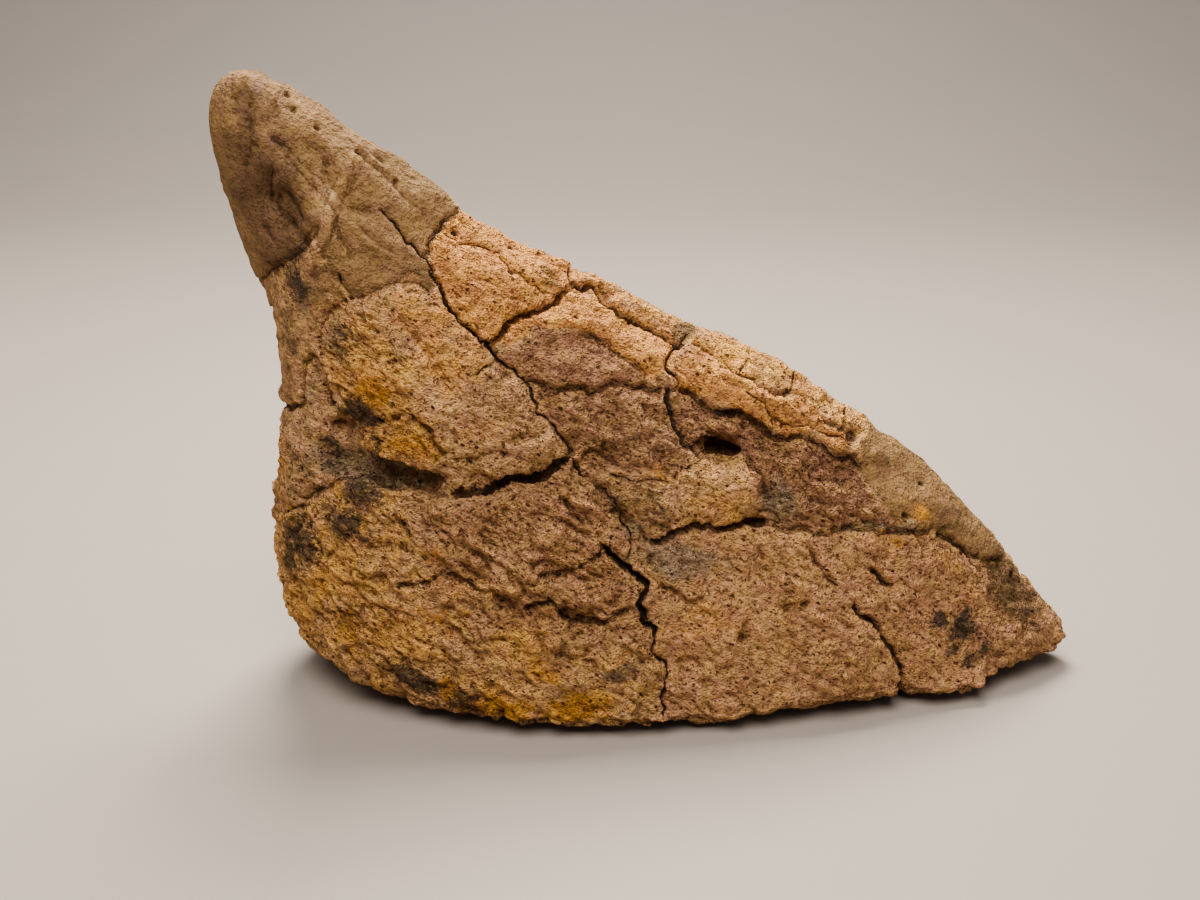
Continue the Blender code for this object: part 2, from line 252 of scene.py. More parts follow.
NEAR_FISSURES = on(
    NEAR,
    Fissure,
    # the long crack, from the horn down to the middle of the flank
    (FURROW, ((-96.5, 173), (-92.5, 170), (-90.5, 165.5), (-89.5, 161), (-86.5, 157.5), (-82, 154.5),
     (-76.5, 152.5)), 3, 1, 0.7, 6),
    (CRACK, ((-78, 154), (-72, 149), (-69, 144), (-64, 140), (-61, 137), (-58, 131), (-56, 127)), 6, 0.9),
    (RIFT, ((-62, 137.5), (-58, 131), (-56, 127), (-53, 123), (-50, 119), (-45, 116.5), (-43, 113),
     (-41, 110), (-38, 108)), 7),
    (CRACK, ((-43, 112), (-41, 110), (-38, 108), (-35, 106), (-33, 103), (-31, 100), (-29, 96), (-27, 93),
     (-24, 90), (-21, 87), (-20, 84.5)), 1, 1.2, 0.3, 10, True),
    (CRACK, ((-45, 115.5), (-41, 119), (-38, 120.5), (-34, 122), (-30, 123), (-27, 125), (-24, 127),
     (-20.5, 129)), 1, 0.5, 0.15, 8),
    (CRACK, ((-20.5, 128.5), (-21, 131.5), (-20.5, 135), (-20, 141)), 1, 0.8),
    (CRACK, ((-20.5, 128.5), (-17, 127.5), (-13, 129), (-10, 125), (-8.5, 123.5), (-6, 121), (-3, 118),
     (2, 116), (7, 114), (13, 112)), 1, 0.9, 0.4, 8),
    (CRACK, ((14, 113), (11, 110), (9, 108), (8, 106), (10, 104), (12, 102), (10, 100)), 1),
    # the foot of the horn's skin
    (HAIRLINE, ((-50, 152), (-54.5, 151), (-57.5, 149), (-59, 145.5), (-62, 143.5), (-62.5, 139.5)), 2, 1.4,
     0.7, 8),
    (HAIRLINE, ((-59, 146), (-54.5, 144), (-47.5, 141), (-40.5, 137), (-34, 131.5), (-27, 127)), 2),
    (FURROW, ((-60.5, 130), (-62, 131), (-64.5, 132.5), (-68.5, 133.5), (-73, 132.5), (-78, 130.5),
     (-82, 128.5), (-85.5, 127.5)), 2, 0.5, 1.1, 9),
    (HAIRLINE, ((-60.5, 130), (-62, 131), (-64.5, 132.5), (-68, 133.5)), 2),
    (HAIRLINE, ((-88.5, 136.5), (-87.5, 134), (-86, 131.5), (-84.5, 128)), 2, 1.3),
    (FURROW, ((-85, 128), (-88, 126), (-92, 123.5), (-94.5, 118.5), (-97, 109.5)), 2, 0.6, 0.7, 8),
    (FURROW, ((-92, 150), (-96, 147.5), (-100, 142.5), (-105, 138), (-108.5, 135.5), (-116, 129)), 3, 0.8,
     -1.1, 7),
    (HAIRLINE, ((-97, 146.5), (-100, 142.5), (-105, 138), (-108.5, 135.5)), 4, 0.8),
    # the horn's furrows and the wrinkles of its back face
    (FURROW, ((-103.5, 173), (-99.5, 168), (-92.5, 161.5), (-88.5, 152), (-87, 146), (-82.5, 138.5)), 3, 1,
     -0.9, 7),
    (FURROW, ((-106.5, 174.5), (-102.5, 171.5), (-100, 167.5), (-94.5, 161), (-90.5, 156.5)), 3, 0.8, 0.6, 5),
    (FURROW, ((-113, 180), (-113, 175.5), (-113.5, 171), (-115.5, 163.5)), 3, 1, -0.9, 7),
    (FURROW, ((-113.5, 170.5), (-111.5, 171.5), (-109, 170.5)), 2, 0.7),
    (FURROW, ((-105, 166), (-107.5, 158.5), (-108.5, 152.5)), 3, 1, 0.8, 6),
    (FURROW, ((-111.5, 149), (-109.5, 146), (-107.5, 142.5)), 2),
    (FURROW, ((-104, 160), (-101, 154), (-97.5, 149)), 3, 1, 0.4, 5),
    (FURROW, ((-104, 158), (-106, 154), (-104, 150), (-100, 147)), 3, 0.7, 0.6, 5),
    (FURROW, ((-85, 172), (-78, 165), (-70, 157), (-62, 150)), 3, 0.8),
    (FURROW, ((-90, 180), (-82, 171.5), (-74, 164)), 3, 0.7),
    (FURROW, ((-83, 150), (-76, 144), (-70, 140), (-66, 139)), 3, 0.8),
    # the mauve plates
    (HAIRLINE, ((-35, 104.5), (-32, 104.5), (-24.5, 103.5), (-16.5, 103), (-11.5, 102.5), (-6.5, 103),
     (1.5, 103), (6, 101), (9, 100.5)), 3, 1.2, 0.6, 6),
    (HAIRLINE, ((-20, 118), (-9.5, 114.5), (-4.5, 110), (0.5, 106), (2.5, 103)), 3, 1.2, 0.5, 6),
    (CRACK, ((10, 100.5), (8, 97), (11, 90.5), (14.5, 86), (19, 81.5)), 1, 1.3, 0.8, 6),
    (HAIRLINE, ((32, 80), (35.5, 77), (38, 73), (40, 69)), 2, 1.6, -0.4, 6),
    (HAIRLINE, ((19, 82), (16, 80.5), (11.5, 78), (10.5, 76), (4, 76), (-4, 77), (-11.5, 78)), 3, 1.2),
    (FURROW, ((-18, 82.5), (-14, 85.5), (-9, 85.5), (-3, 83)), 2, 0.6, 0.8, 5),
    # the ledge under the big upper block, the block's torn foot and the lower block's top
    (CRACK, ((-19.5, 85), (-22, 83.5), (-24, 82.5), (-26, 80), (-27.5, 78.5), (-30, 77.5), (-34, 77.5),
     (-38, 77.5), (-41, 76.5), (-45, 75), (-50, 75), (-54, 74.5), (-58, 73)), 5, 0.9, -0.9, 8),
    (FURROW, ((-56, 73), (-61, 73), (-65, 74.5), (-70, 75.5), (-75, 74.5), (-80, 77), (-87, 77)), 2, 0.7, 1.3,
     7),
    (HAIRLINE, ((-85, 77), (-87, 77), (-91, 74), (-95, 70), (-100, 67), (-103, 64), (-110, 59), (-117, 50)),
     2, 0.8, 1.2, 7),
    (CRACK, ((-97, 109.5), (-95, 106), (-94, 102), (-93, 98), (-90, 94), (-88, 92)), 1, 0.9, 1.6, 9),
    (HAIRLINE, ((-90, 94), (-88, 92), (-86, 90), (-84, 86), (-81, 82), (-79, 81), (-75, 81), (-70, 80),
     (-65, 79), (-58, 76)), 2, 1, 2.6),
    (HAIRLINE, ((-120, 89.5), (-114, 89.5), (-111, 90), (-107, 91), (-104, 93), (-102.5, 99), (-101.5, 106),
     (-97, 109.5)), 1, 1.4, 0.3, 8),
    (CRACK, ((-122, 90), (-114, 89.5), (-110, 90)), 2, 1.3),
    # the valley in the middle, and the crack from there to the nose
    (RIFT, ((-20, 84.5), (-18.5, 82), (-16.5, 79.5), (-13.5, 77.5)), 3, 0.8),
    (FURROW, ((-19, 83), (-16.5, 79.5), (-11.5, 76), (-6.5, 69), (-0.5, 64), (4, 59)), 2, 3, 1.7, 9),
    (CRACK, ((-13.5, 77.5), (-11.5, 76), (-6.5, 69), (-2.5, 63.5), (-3, 58), (-5, 52)), 4, 0.8),
    (HAIRLINE, ((-22.5, 73.5), (-20, 68.5), (-16.5, 65)), 2, 1.6, 0.4, 5),
    (CRACK, ((3, 58.5), (7, 58), (11.5, 60.5), (16, 62), (23.5, 61.5), (29, 61), (32, 63), (39.5, 61.5)), 2,
     0.5, -0.6, 7),
    (HAIRLINE, ((38, 62), (44.5, 59.5), (51, 58.5), (59.5, 57.5), (67.5, 57.5), (76, 55.5), (87.5, 53),
     (93, 52)), 3, 1.2, 1.2, 7),
    (HAIRLINE, ((94, 51), (99, 47.5), (105, 43.5), (107.5, 41), (113.5, 39.5), (119, 38.5)), 2, 1.3, 0.9, 6),
    (RIFT, ((-14, 58.5), (-10, 58), (-8, 55), (-5, 52), (-2, 50), (0, 49), (2, 47), (1.5, 44), (0.5, 42),
     (1, 39), (2, 36), (4, 34), (3.5, 31), (3, 28)), 7, 2.1),
    (CRACK, ((2, 37), (4, 34), (3.5, 31), (3, 28), (5, 26), (7, 24), (7.5, 21), (8, 17), (7.5, 12), (8, 8),
     (7, 3), (7, -6)), 4, 1.1),
    (HAIRLINE, ((-31, 51), (-28.5, 51.5), (-24, 51.5), (-18.5, 53), (-14, 55.5), (-10, 57)), 3, 1.4, -0.7, 6),
    # the blocks along the keel
    (CRACK, ((11, 101), (13.5, 100.5), (16.5, 99), (22, 94.5), (30.5, 91.5), (40, 86), (45.5, 84.5),
     (51.5, 84)), 3, 0.4, 0.5),
    (HAIRLINE, ((51.5, 84), (56, 81), (58, 79), (62, 77), (66, 77), (70, 73)), 2, 1.8, 1, 8),
    (HAIRLINE, ((54, 85.5), (58, 83.5), (62, 82.5), (67, 79)), 2, 1.6),
    (HAIRLINE, ((15.5, 111.5), (23.5, 108.5), (28.5, 104.5), (35.5, 100.5), (41, 96.5), (51, 94),
     (57.5, 87.5), (65, 83.5)), 2, 1.6, -0.6, 6),
    (HAIRLINE, ((31, 98.5), (37.5, 94.5), (39.5, 90.5), (44.5, 88), (52, 87.5)), 2, 1.2),
    (HAIRLINE, ((39.5, 90.5), (41, 87)), 1),
    (HAIRLINE, ((48, 102), (46.5, 97), (44, 94.5)), 1, 1.4),
    (HAIRLINE, ((35, 109), (33.5, 105), (31, 103)), 1, 1.2),
    (CRACK, ((66, 91), (65, 86.5), (63.5, 84)), 1),
    (HAIRLINE, ((-38, 150), (-40.5, 144), (-39, 140)), 2),
    # the low ledge by the nose, the chisel mark and short cracks
    (HAIRLINE, ((50.5, 56), (51.5, 54), (53.5, 50.5), (58.5, 44), (62, 40.5)), 3, 1.2, 0.5, 8),
    (CRACK, ((64.5, 38), (67, 35), (68, 32.5), (74.5, 26), (78.5, 20), (81.5, 14), (82.5, 9), (82, 4),
     (80, -5)), 4, 0.8, -1.3, 9),
    (FURROW, ((35, 56), (38.5, 50), (41, 44.5)), 2, 2),
    (CRACK, ((70, 46), (74.5, 42.5), (79.5, 39)), 4, 1.3, 0.4, 5),
    (HAIRLINE, ((6, 47), (10, 44.5), (15.5, 42), (20, 43)), 2, 1, 0.4, 5),
    # the lower left block
    (HAIRLINE, ((-73, 45.5), (-71.5, 46), (-67.5, 47), (-63.5, 47.5), (-59.5, 50), (-55.5, 49.5),
     (-48.5, 47.5), (-43.5, 45)), 3, 1.5, -1, 7),
    (FURROW, ((-46, 46), (-43.5, 45), (-39.5, 43.5), (-36, 40.5), (-34, 38)), 2, 1.2, -0.8, 6),
    (HAIRLINE, ((-35, 40.5), (-30.5, 43), (-27, 43.5), (-21.5, 38.5), (-16.5, 36.5), (-11.5, 37),
     (-6.5, 39.5), (-2, 40.5)), 2, 1.5, 1, 7),
    (HAIRLINE, ((-73.5, 68.5), (-71, 64.5), (-69, 59.5)), 2, 2, 0.4, 4),
    (FURROW, ((-96, 60), (-93, 66), (-90, 71)), 3, 1, 0.5, 5),
    (FURROW, ((-101, 30), (-95, 33), (-88, 33.5), (-82, 31)), 3, 1, 0.6, 7),
    (FURROW, ((-60, 31), (-52, 35), (-46, 34)), 3, 1, -0.6, 6),
    (FURROW, ((-28, 30), (-20, 27), (-14, 28)), 3, 1, 0.6, 6),
    (FURROW, ((-84, 56), (-76, 58), (-66, 56)), 3, 1, 0.6, 6),
    # the big upper block
    (FURROW, ((-76.5, 130), (-71, 125), (-66.5, 120.5), (-62.5, 114.5), (-58, 108), (-52.5, 102)), 5, 0.9,
     0.3, 8),
    (FURROW, ((-64, 117), (-62.5, 114.5), (-59, 109), (-56, 105), (-53, 102)), 4, 0.8),
    (HAIRLINE, ((-73.5, 94), (-69, 97), (-66.5, 95), (-62.5, 92.5), (-62.5, 90.5), (-59, 87), (-57, 84.5)), 2,
     1.2, 0.5, 4),
    (HAIRLINE, ((-48.5, 107), (-47, 108.5), (-44, 110.5), (-42, 111)), 2, 1.2),
    (HAIRLINE, ((-52, 121), (-50.5, 121.5), (-46, 119)), 2),
    (FURROW, ((-38, 89), (-33, 91), (-29, 90)), 2, 0.6, 0.3, 4),
    (FURROW, ((-58, 84), (-50, 83.5), (-43, 86), (-38, 85)), 3, 0.6, -0.5, 6),
)

FAR_FISSURES = tuple(
    Fissure(cut, route, 4, wide, drop, 9, aspect=FAR)
    for cut, wide, drop, route in (
        (RIFT, 1, 0.6, ((-20, 136), (-24, 121), (-32, 114), (-40, 108), (-43, 99), (-47, 92))),
        (RIFT, 1.3, -1.2, ((-47, 92), (-58, 84), (-66, 80), (-76, 79), (-84, 76), (-100, 66), (-117, 58))),
        (RIFT, 1.2, 0.8, ((-47, 92), (-38, 87), (-30, 84), (-17, 70), (-6, 66), (4, 64), (10, 57), (14, 50),
         (12, 32), (20, 16), (18, -6))),
        (CRACK, 1.2, -1, ((14, 116), (16, 103), (23, 97), (30, 92), (34, 78), (44, 71), (52, 66), (76, 60),
         (90, 58), (104, 54))),
        (HAIRLINE, 1.4, 0.4, ((4, 64), (13, 68), (22, 70), (34, 78))),
        (CRACK, 0.8, 0.9, ((-55, 153), (-60, 147), (-66, 140), (-80, 134), (-90, 131), (-98, 128),
         (-114, 119))),
        (CRACK, 1.3, 0.8, ((-66, 80), (-62, 62), (-72, 44), (-66, 26), (-74, 12), (-70, -6))),
        (CRACK, 0.8, 0.5, ((-40, 108), (-50, 112), (-60, 112), (-76, 104), (-84, 90), (-84, 76))),
        (CRACK, 1.1, -1, ((52, 66), (58, 46), (72, 34), (74, 16), (84, -6))),
        (CRACK, 0.9, 0.6, ((-17, 70), (-28, 54), (-26, 38), (-40, 26))),
        (FURROW, 1, 0, ((-90, 178), (-84, 160), (-88, 146), (-82, 136))),
        (FURROW, 1.2, 0.4, ((-104, 176), (-106, 160), (-100, 146))),
        (HAIRLINE, 1.3, 0.4, ((-6, 121), (2, 112), (0, 100), (8, 92), (22, 97))),
        (HAIRLINE, 1.2, 0.5, ((36, 104), (44, 92), (60, 84), (68, 74))),
        (HAIRLINE, 1.4, 0.5, ((-100, 66), (-96, 48), (-104, 34))),
        (HAIRLINE, 1.3, 0.5, ((14, 50), (30, 46), (42, 36), (40, 22))),
        (HAIRLINE, 1.2, 0, ((-60, 112), (-58, 124), (-64, 134))),
    )
)

BELOW_FISSURES = tuple(
    Fissure(cut, route, 5, wide, 0.3, 8, aspect=BELOW)
    for cut, wide, route in (
        (RIFT, 1, ((7, -56), (4, -44), (8, -30), (2, -16), (6, 0), (14, 16), (12, 32), (18, 56))),
        (CRACK, 1.2, ((-70, 56), (-64, 38), (-70, 22), (-58, 8), (-60, -10), (-72, -26))),
        (CRACK, 1, ((6, 0), (24, -4), (44, 4), (66, -2), (84, 6))),
        (CRACK, 1, ((82, -38), (76, -24), (66, -2), (74, 14), (84, 34))),
        (HAIRLINE, 1.4, ((-58, 8), (-36, 4), (-20, -6), (2, -16))),
        (HAIRLINE, 1.4, ((-58, 8), (-78, 2), (-96, 6))),
    )
)

NEAR_HOLLOWS = on(
    NEAR,
    Hollow,
    # the heel, the pockets, the nose
    (-84, 78, 19, 6, 2.6, -4), (-92, 84, 7, 10, 2, 15), (-76, 76, 8, 3, 1.2, 0, 0.2),
    (25.5, 81.5, 5.6, 1.7, 4, 2, 0.35), (21, 83.5, 5, 2, 2.5, -25, 0.3), (25, 88.5, 6.5, 3.2, -2.2, -8),
    (24, 87, 4.2, 1.1, 0.8, -5), (35.5, 62, 4.2, 1.6, 1.5, 0, 0.25), (-10.5, 126, 2.2, 3, 2.4, 30, 0.5),
    (-12, 82, 7, 3, 1.5, 0, 0.15), (-6, 66, 6, 4, 1.2, -45), (-2, 56, 7, 5, 1.2, -30, 0.15),
    (59, 91, 3.4, 2, 1.2, -25, 0.15), (66, 82, 2.8, 2, 2.2, 0, 0.6), (74.5, 75, 4, 2.6, -1.4, -35),
    (61, 80, 4.6, 2.4, -1.3, -40), (47, 37.5, 5.2, 2.2, 2, 12, 0.25), (50, 38.5, 2, 1.2, 1.2, 12, 0.5),
    (31.5, 31.5, 2.8, 4.2, 1.7, -20, 0.15), (30.5, 29.5, 1.6, 2, 1.2, -20, 0.3), (15, 23, 5.5, 3, 1.6),
    (21, 17, 4, 3, 1.1, -30), (-1, 8, 2.6, 5, 1.6, -25, 0.35), (-22, 39.5, 3.4, 1.8, 1.6, 0, 0.3),
    (-36, 38.5, 3, 3, 1.4, 0, 0.15), (-44, 62, 5, 3, 1.3, -20, 0.15), (-40, 68, 3.2, 3, 1.6, 0, 0.25),
    (-52, 58, 7, 2, 0.9, -6), (-78, 47, 4, 2.2, 1.4, 0, 0.2), (-14, 24, 5, 2.4, 1.4, -15),
    (96, 52, 2.6, 1.6, 1.2, 0, 0.5), (121, 33.5, 1.4, 1, 1.2, 0, 0.5),
    # the horn
    (-100, 152, 5, 12, 1.2, 12), (-91, 150, 2.6, 30, -1.3, -24), (-110.5, 158, 6, 9, 1.1),
    (-94, 186, 5, 3, 0.8, -30), (-114, 181, 4, 7, 1.2), (-107, 185, 2.5, 8, -0.7, -10),
    (-75, 138, 7, 4, 0.8, -25), (-70, 150, 6, 3, 0.6, -35), (-84, 160, 7, 3, 0.7, -50),
    # swells of the blocks
    (-79, 118, 7, 6, -0.8), (-60, 104, 14, 12, -0.8, -30), (-38, 96, 10, 12, -0.8, 30),
    (-36, 134, 10, 5, -0.7, -35), (-15, 119, 12, 4, -0.7, -25), (30, 72, 9, 8, -0.8), (-50, 60, 18, 8, -0.8),
    (-25, 61, 8, 6, -1.2, -30), (-16, 46, 11, 6, -1.6), (-50, 34, 16, 9, -1), (-22, 34, 10, 4, -1.2, -15),
    (-96, 40, 10, 14, -0.8), (22, 32, 14, 12, -1), (62, 20, 14, 12, -1.2, -40), (-92, 20, 9, 8, -0.8, 20),
    (-60, 78, 5, 2.5, 1.4),
)

FAR_HOLLOWS = on(
    FAR,
    Hollow,
    (-30, 44, 7, 4, 1.2, -30), (26, 84, 6, 4, 5, -20, 0.8), (-92, 72, 8, 6, 2), (44, 54, 9, 6, -1),
    (-52, 100, 12, 9, -1), (-90, 104, 8, 12, -0.8), (2, 84, 12, 8, -1), (-48, 20, 12, 8, -1),
)

BELOW_HOLLOWS = on(BELOW, Hollow, (-44, 0, 14, 10, 1.2, 20), (34, 12, 14, 8, 1, -20))

# mouths of blood vessels, as small deep hollows that all lean one way, each with shade painted in it as dark
# as its group says: the x, height and width of each
VESSELS = tuple(
    Hollow(x, up, 0.7 * width, 0.4 * width, 0.7 * width, -35, dark, aspect)
    for (aspect, dark), mouths in {
        (NEAR, 0.35): (
            (-117, 184.5, 1.5), (-112, 182.5, 1.5), (-102.5, 184.5, 1.9), (-100.5, 180.5, 2.1),
            (-89, 166, 1.2),
        ),
        (NEAR, 0.6): (
            (-94, 175.5, 2.2), (-82.5, 168.5, 2.1), (-71.5, 160.5, 1.6), (-110.5, 136.5, 1.6),
            (-78, 177, 1.2),
        ),
        (NEAR, 0.9): (
            (-55, 145.5, 2.2), (-38.5, 140.5, 1.8), (-38.5, 134, 2), (-61, 118.5, 1.3), (-72, 111.5, 1.9),
            (-67, 112.5, 1.2), (-44, 106.5, 1.3), (-60.5, 99, 1.5), (-40.5, 86, 1.4), (-77, 93.5, 2.2),
        ),
        (NEAR, 0.8): (
            (-24, 110.5, 1.3), (-8, 111, 1.2), (-19, 121, 1.5), (3, 109, 1.3), (21, 104, 1.2), (-44, 57, 1.4),
            (-33, 66, 1.5), (46, 68, 1.4), (56, 30, 1.4), (91, 40, 1.3), (82.5, 58.5, 2.4), (89, 66, 1.8),
        ),
        (FAR, 0.7): (
            (-95, 172, 2), (-84, 158, 1.8), (-98, 140, 2.2), (-52, 132, 2), (6, 96, 2), (92, 44, 2.2),
        ),
        (FAR, 0.9): (
            (-30, 66, 1.8), (-68, 96, 1.6), (40, 60, 1.6), (-60, 122, 1.5), (-20, 100, 1.4), (60, 40, 1.6),
        ),
        (BELOW, 0.9): ((-20, 8, 2.8), (30, -14, 2.4), (-60, -18, 2.8), (64, 10, 2.2), (-38, 24, 2.2)),
    }.items()
    for x, up, width in mouths
)

HORN = (
    (-135, 122), (-113, 130), (-108, 136), (-105, 138), (-100, 142.5), (-95.5, 147), (-91, 141), (-87.5, 134),
    (-85, 128), (-78, 130.5), (-73, 132.5), (-68.5, 133.5), (-62, 131), (-58, 131.5), (-62.5, 138),
    (-62, 143.5), (-59, 145.5), (-57, 149), (-52, 152), (-20, 175), (-80, 215), (-140, 215),
)
NOSE_SKIN = (
    (63, 92), (66, 84), (68, 78), (68.5, 70.5), (73.5, 66), (76, 61.5), (84, 54.5), (94, 51.5), (99, 47.5),
    (105, 43.5), (107.5, 41), (113.5, 39.5), (118, 39), (127, 30), (137, 17), (160, 20), (150, 70), (90, 110),
)

NEAR_PLATES = on(
    NEAR,
    Plate,
    # the lower blocks
    (((-130, 50), (-110, 59), (-95, 70), (-87, 77), (-70, 75.5), (-56, 73), (-50, 45), (-40, 20), (-40, -8),
     (-130, -8)), {OCHRE: 0.45}, 0, 1.2, 0.6),
    (((-68, 73), (-56, 73), (-41, 76), (-27, 78), (-20, 84), (-12, 76), (-6, 68), (4, 59), (-4, 52), (1, 44),
     (3, 30), (-30, 30), (-64, 40)), {ROSE: 0.6}, 0, 1.4, 1, 12),
    (((-72, 20), (-60, 36), (-30, 32), (4, 30), (8, 17), (7, -8), (-60, -8)), {OCHRE: 0.35, ROSE: 0.3}, 0,
     1.2, 0.7, 8),
    (((7, -8), (8, 17), (3, 30), (2, 46), (5, 58), (24, 61), (44, 59.5), (60, 57.5), (70, 57), (60, 44),
     (68, 32), (79, 20), (82, 8), (80, -8)), {ROSE: 0.45, PEACH: 0.3}, 0.2, 0.9, 0.5),
    (((80, -8), (82, 8), (79, 20), (68, 32), (60, 44), (70, 57), (84, 54), (94, 51.5), (107, 41), (118, 39),
     (127, 30), (160, 15), (160, -8)), {ROSE: 0.7, MAUVE: 0.2}, 0, 0.9, 0.4),
    # the horn, the nose and the nape behind the horn's foot
    (HORN, {OLIVE: 1}, 0.4, 0.12),
    (NOSE_SKIN, {OLIVE: 0.95}, 0.3, 0.15),
    (((-130, 90), (-111, 90), (-104, 93), (-102, 103), (-97, 110), (-94.5, 118.5), (-88, 126), (-85, 128),
     (-87.5, 134), (-92, 141), (-96, 147), (-105, 138), (-113, 129), (-130, 122)), {OLIVE: 0.45, UMBER: 0.12},
     0, 0.5),
    # the big upper block: ochre on the left, peach on the right
    (((-97, 109.5), (-94, 102), (-93, 98), (-88, 92), (-84, 86), (-79, 81), (-65, 79), (-54, 76), (-28, 79),
     (-20, 85), (-27, 93), (-38, 108), (-45, 116.5), (-53, 123), (-58, 131), (-64, 132), (-74, 132),
     (-84, 128), (-92, 123)), {ROSE: 0.3}, 0, 1.1, 0.3),
    (((-97, 109.5), (-94, 102), (-93, 98), (-88, 92), (-84, 86), (-79, 81), (-65, 79), (-60, 82), (-60, 96),
     (-68, 110), (-76, 124), (-84, 128), (-92, 123)), {OCHRE: 0.6}, 0, 1.3, 0.4, 10),
    (((-78, 131), (-68, 133.5), (-62, 131), (-57, 130), (-50, 119), (-45, 116.5), (-42, 110), (-56, 100),
     (-66, 112)), {PEACH: 0.55}, 0, 0.8, 0.1, 10),
    # the triangle under the keel, and the peach plates right of it
    (((-50, 156), (-57, 148), (-62, 141), (-58, 131), (-50, 119), (-44.5, 116.5), (-36, 121.5), (-27, 125.5),
     (-20.5, 129), (-20, 140)), {PEACH: 1}, 0, 0.8),
    (((-44, 116), (-36, 121.5), (-27, 125.5), (-20, 129), (-9, 124), (-3, 118), (13, 112), (8, 106),
     (2.5, 103), (-4.5, 110), (-9.5, 114.5), (-20, 118), (-31, 119.5), (-38, 114)), {PEACH: 0.95}, 0.2, 0.8),
    (((-21, 129), (-21, 142), (14, 122), (14, 112), (-3, 118), (-9, 124)), {PEACH: 0.55, OLIVE: 0.25}, 0.2,
     0.8),
    (((-43, 112), (-38, 113), (-31, 118), (-20, 118), (-9.5, 114.5), (-4.5, 110), (0.5, 106), (2, 103),
     (-6.5, 103), (-16.5, 103), (-32, 104.5), (-37, 107)), {MAUVE: 0.95}, 0, 0.7, 0.1, 3.5),
    (((-32, 104.5), (-16.5, 103), (1.5, 103), (6, 101), (8, 97), (11, 90.5), (16, 84), (10.5, 77), (-4, 79),
     (-13, 83), (-20, 84.5), (-27, 93)), {MAUVE: 0.55}, -0.3, 1.3, 0.5),
    (((-13, 78), (-4, 77), (10.5, 76), (18.5, 82), (31, 80), (35, 76), (38.5, 68.5), (37, 62.5), (24, 61.5),
     (11, 60.5), (4, 59), (-6, 69)), {OCHRE: 0.35, ROSE: 0.2}, 0.3, 1, 0.2),
    (((-14, 78), (-4, 77), (10.5, 76), (12, 68), (10, 61), (4, 59), (-6, 69)), {OLIVE: 0.4, DUST: 0.25}, -0.3,
     1.2, 0.2, 6),
    (((8, 98), (16.5, 99), (22, 94.5), (30, 91.5), (40, 86), (51.5, 84), (58, 79), (67, 77), (68.5, 70.5),
     (76, 61.5), (84, 54), (68, 57.5), (44, 60), (39, 63), (38.5, 68), (35, 76), (31, 81), (19, 81.5),
     (11, 90)), {MAUVE: 0.7}, -0.5, 1.3, 0.7),
    (((10, 100), (9, 106), (15.5, 111.5), (23.5, 108.5), (35.5, 100.5), (51, 94), (57.5, 87.5), (65, 83.5),
     (62, 77), (54, 85), (45, 84.5), (30.5, 91.5), (16.5, 99)), {PEACH: 0.75}, 0.3, 1, 0.1),
    (((15, 111.5), (14, 120), (40, 112), (76, 88), (70, 80), (65, 83.5), (51, 94), (35.5, 100.5),
     (23.5, 108.5)), {OCHRE: 0.55, PEACH: 0.3}, 0.2, 0.8),
    # the hollow of the heel, and the back of the heel
    (((-97, 109.5), (-93, 98), (-88, 92), (-84, 86), (-79, 81), (-65, 79), (-58, 75), (-70, 75.5), (-87, 77),
     (-95, 70), (-110, 59), (-130, 50), (-130, 90), (-104, 93), (-102, 103)), {UMBER: 0.36, DUST: 0.25}, -0.4,
     0.9, 0.3),
)

FAR_PLATES = on(
    FAR,
    Plate,
    (((-130, -8), (-130, 120), (-60, 150), (0, 140), (150, 60), (150, -8)), {ROSE: 0.5}, 0, 1.1, 0.5, 10),
    (HORN, {OLIVE: 1}, 0.4, 0.12),
    (NOSE_SKIN, {OLIVE: 0.8}, 0.3, 0.15),
    (((-20, 140), (-24, 121), (-40, 108), (-60, 112), (-80, 134), (-55, 156)), {PEACH: 0.8}, 0.2, 0.8, 0, 4),
    (((-20, 140), (-24, 121), (-40, 108), (-47, 92), (-30, 84), (0, 100), (14, 120)), {PEACH: 0.6}, 0.2, 0.9,
     0.1, 4),
    (((-84, 76), (-84, 90), (-76, 104), (-60, 112), (-40, 108), (-47, 92), (-66, 80)), {OCHRE: 0.5}, 0.3, 1.2,
     0.3, 4),
    (((14, 120), (16, 103), (30, 92), (34, 78), (52, 66), (76, 60), (70, 90)), {OCHRE: 0.4}, 0, 0.9, 0.1, 4),
    (((-47, 92), (-30, 84), (-17, 70), (4, 64), (34, 78), (30, 92), (0, 100)), {MAUVE: 0.7}, -0.2, 1.2, 0.4,
     4),
    (((-130, 50), (-100, 66), (-66, 80), (-62, 62), (-72, 44), (-66, 26), (-74, 12), (-70, -8), (-130, -8)),
     {OCHRE: 0.55}, 0, 1.2, 0.5, 4),
    (((52, 66), (58, 46), (72, 34), (74, 16), (84, -8), (150, -8), (150, 20), (104, 52), (76, 60)),
     {MAUVE: 0.4}, 0, 1, 0.3, 4),
)

BELOW_PLATES = on(
    BELOW,
    Plate,
    (((-140, -70), (160, -70), (160, 70), (-140, 70)), {UMBER: 0.3, DUST: 0.3}, 0, 1.3, 0.3, 6),
)

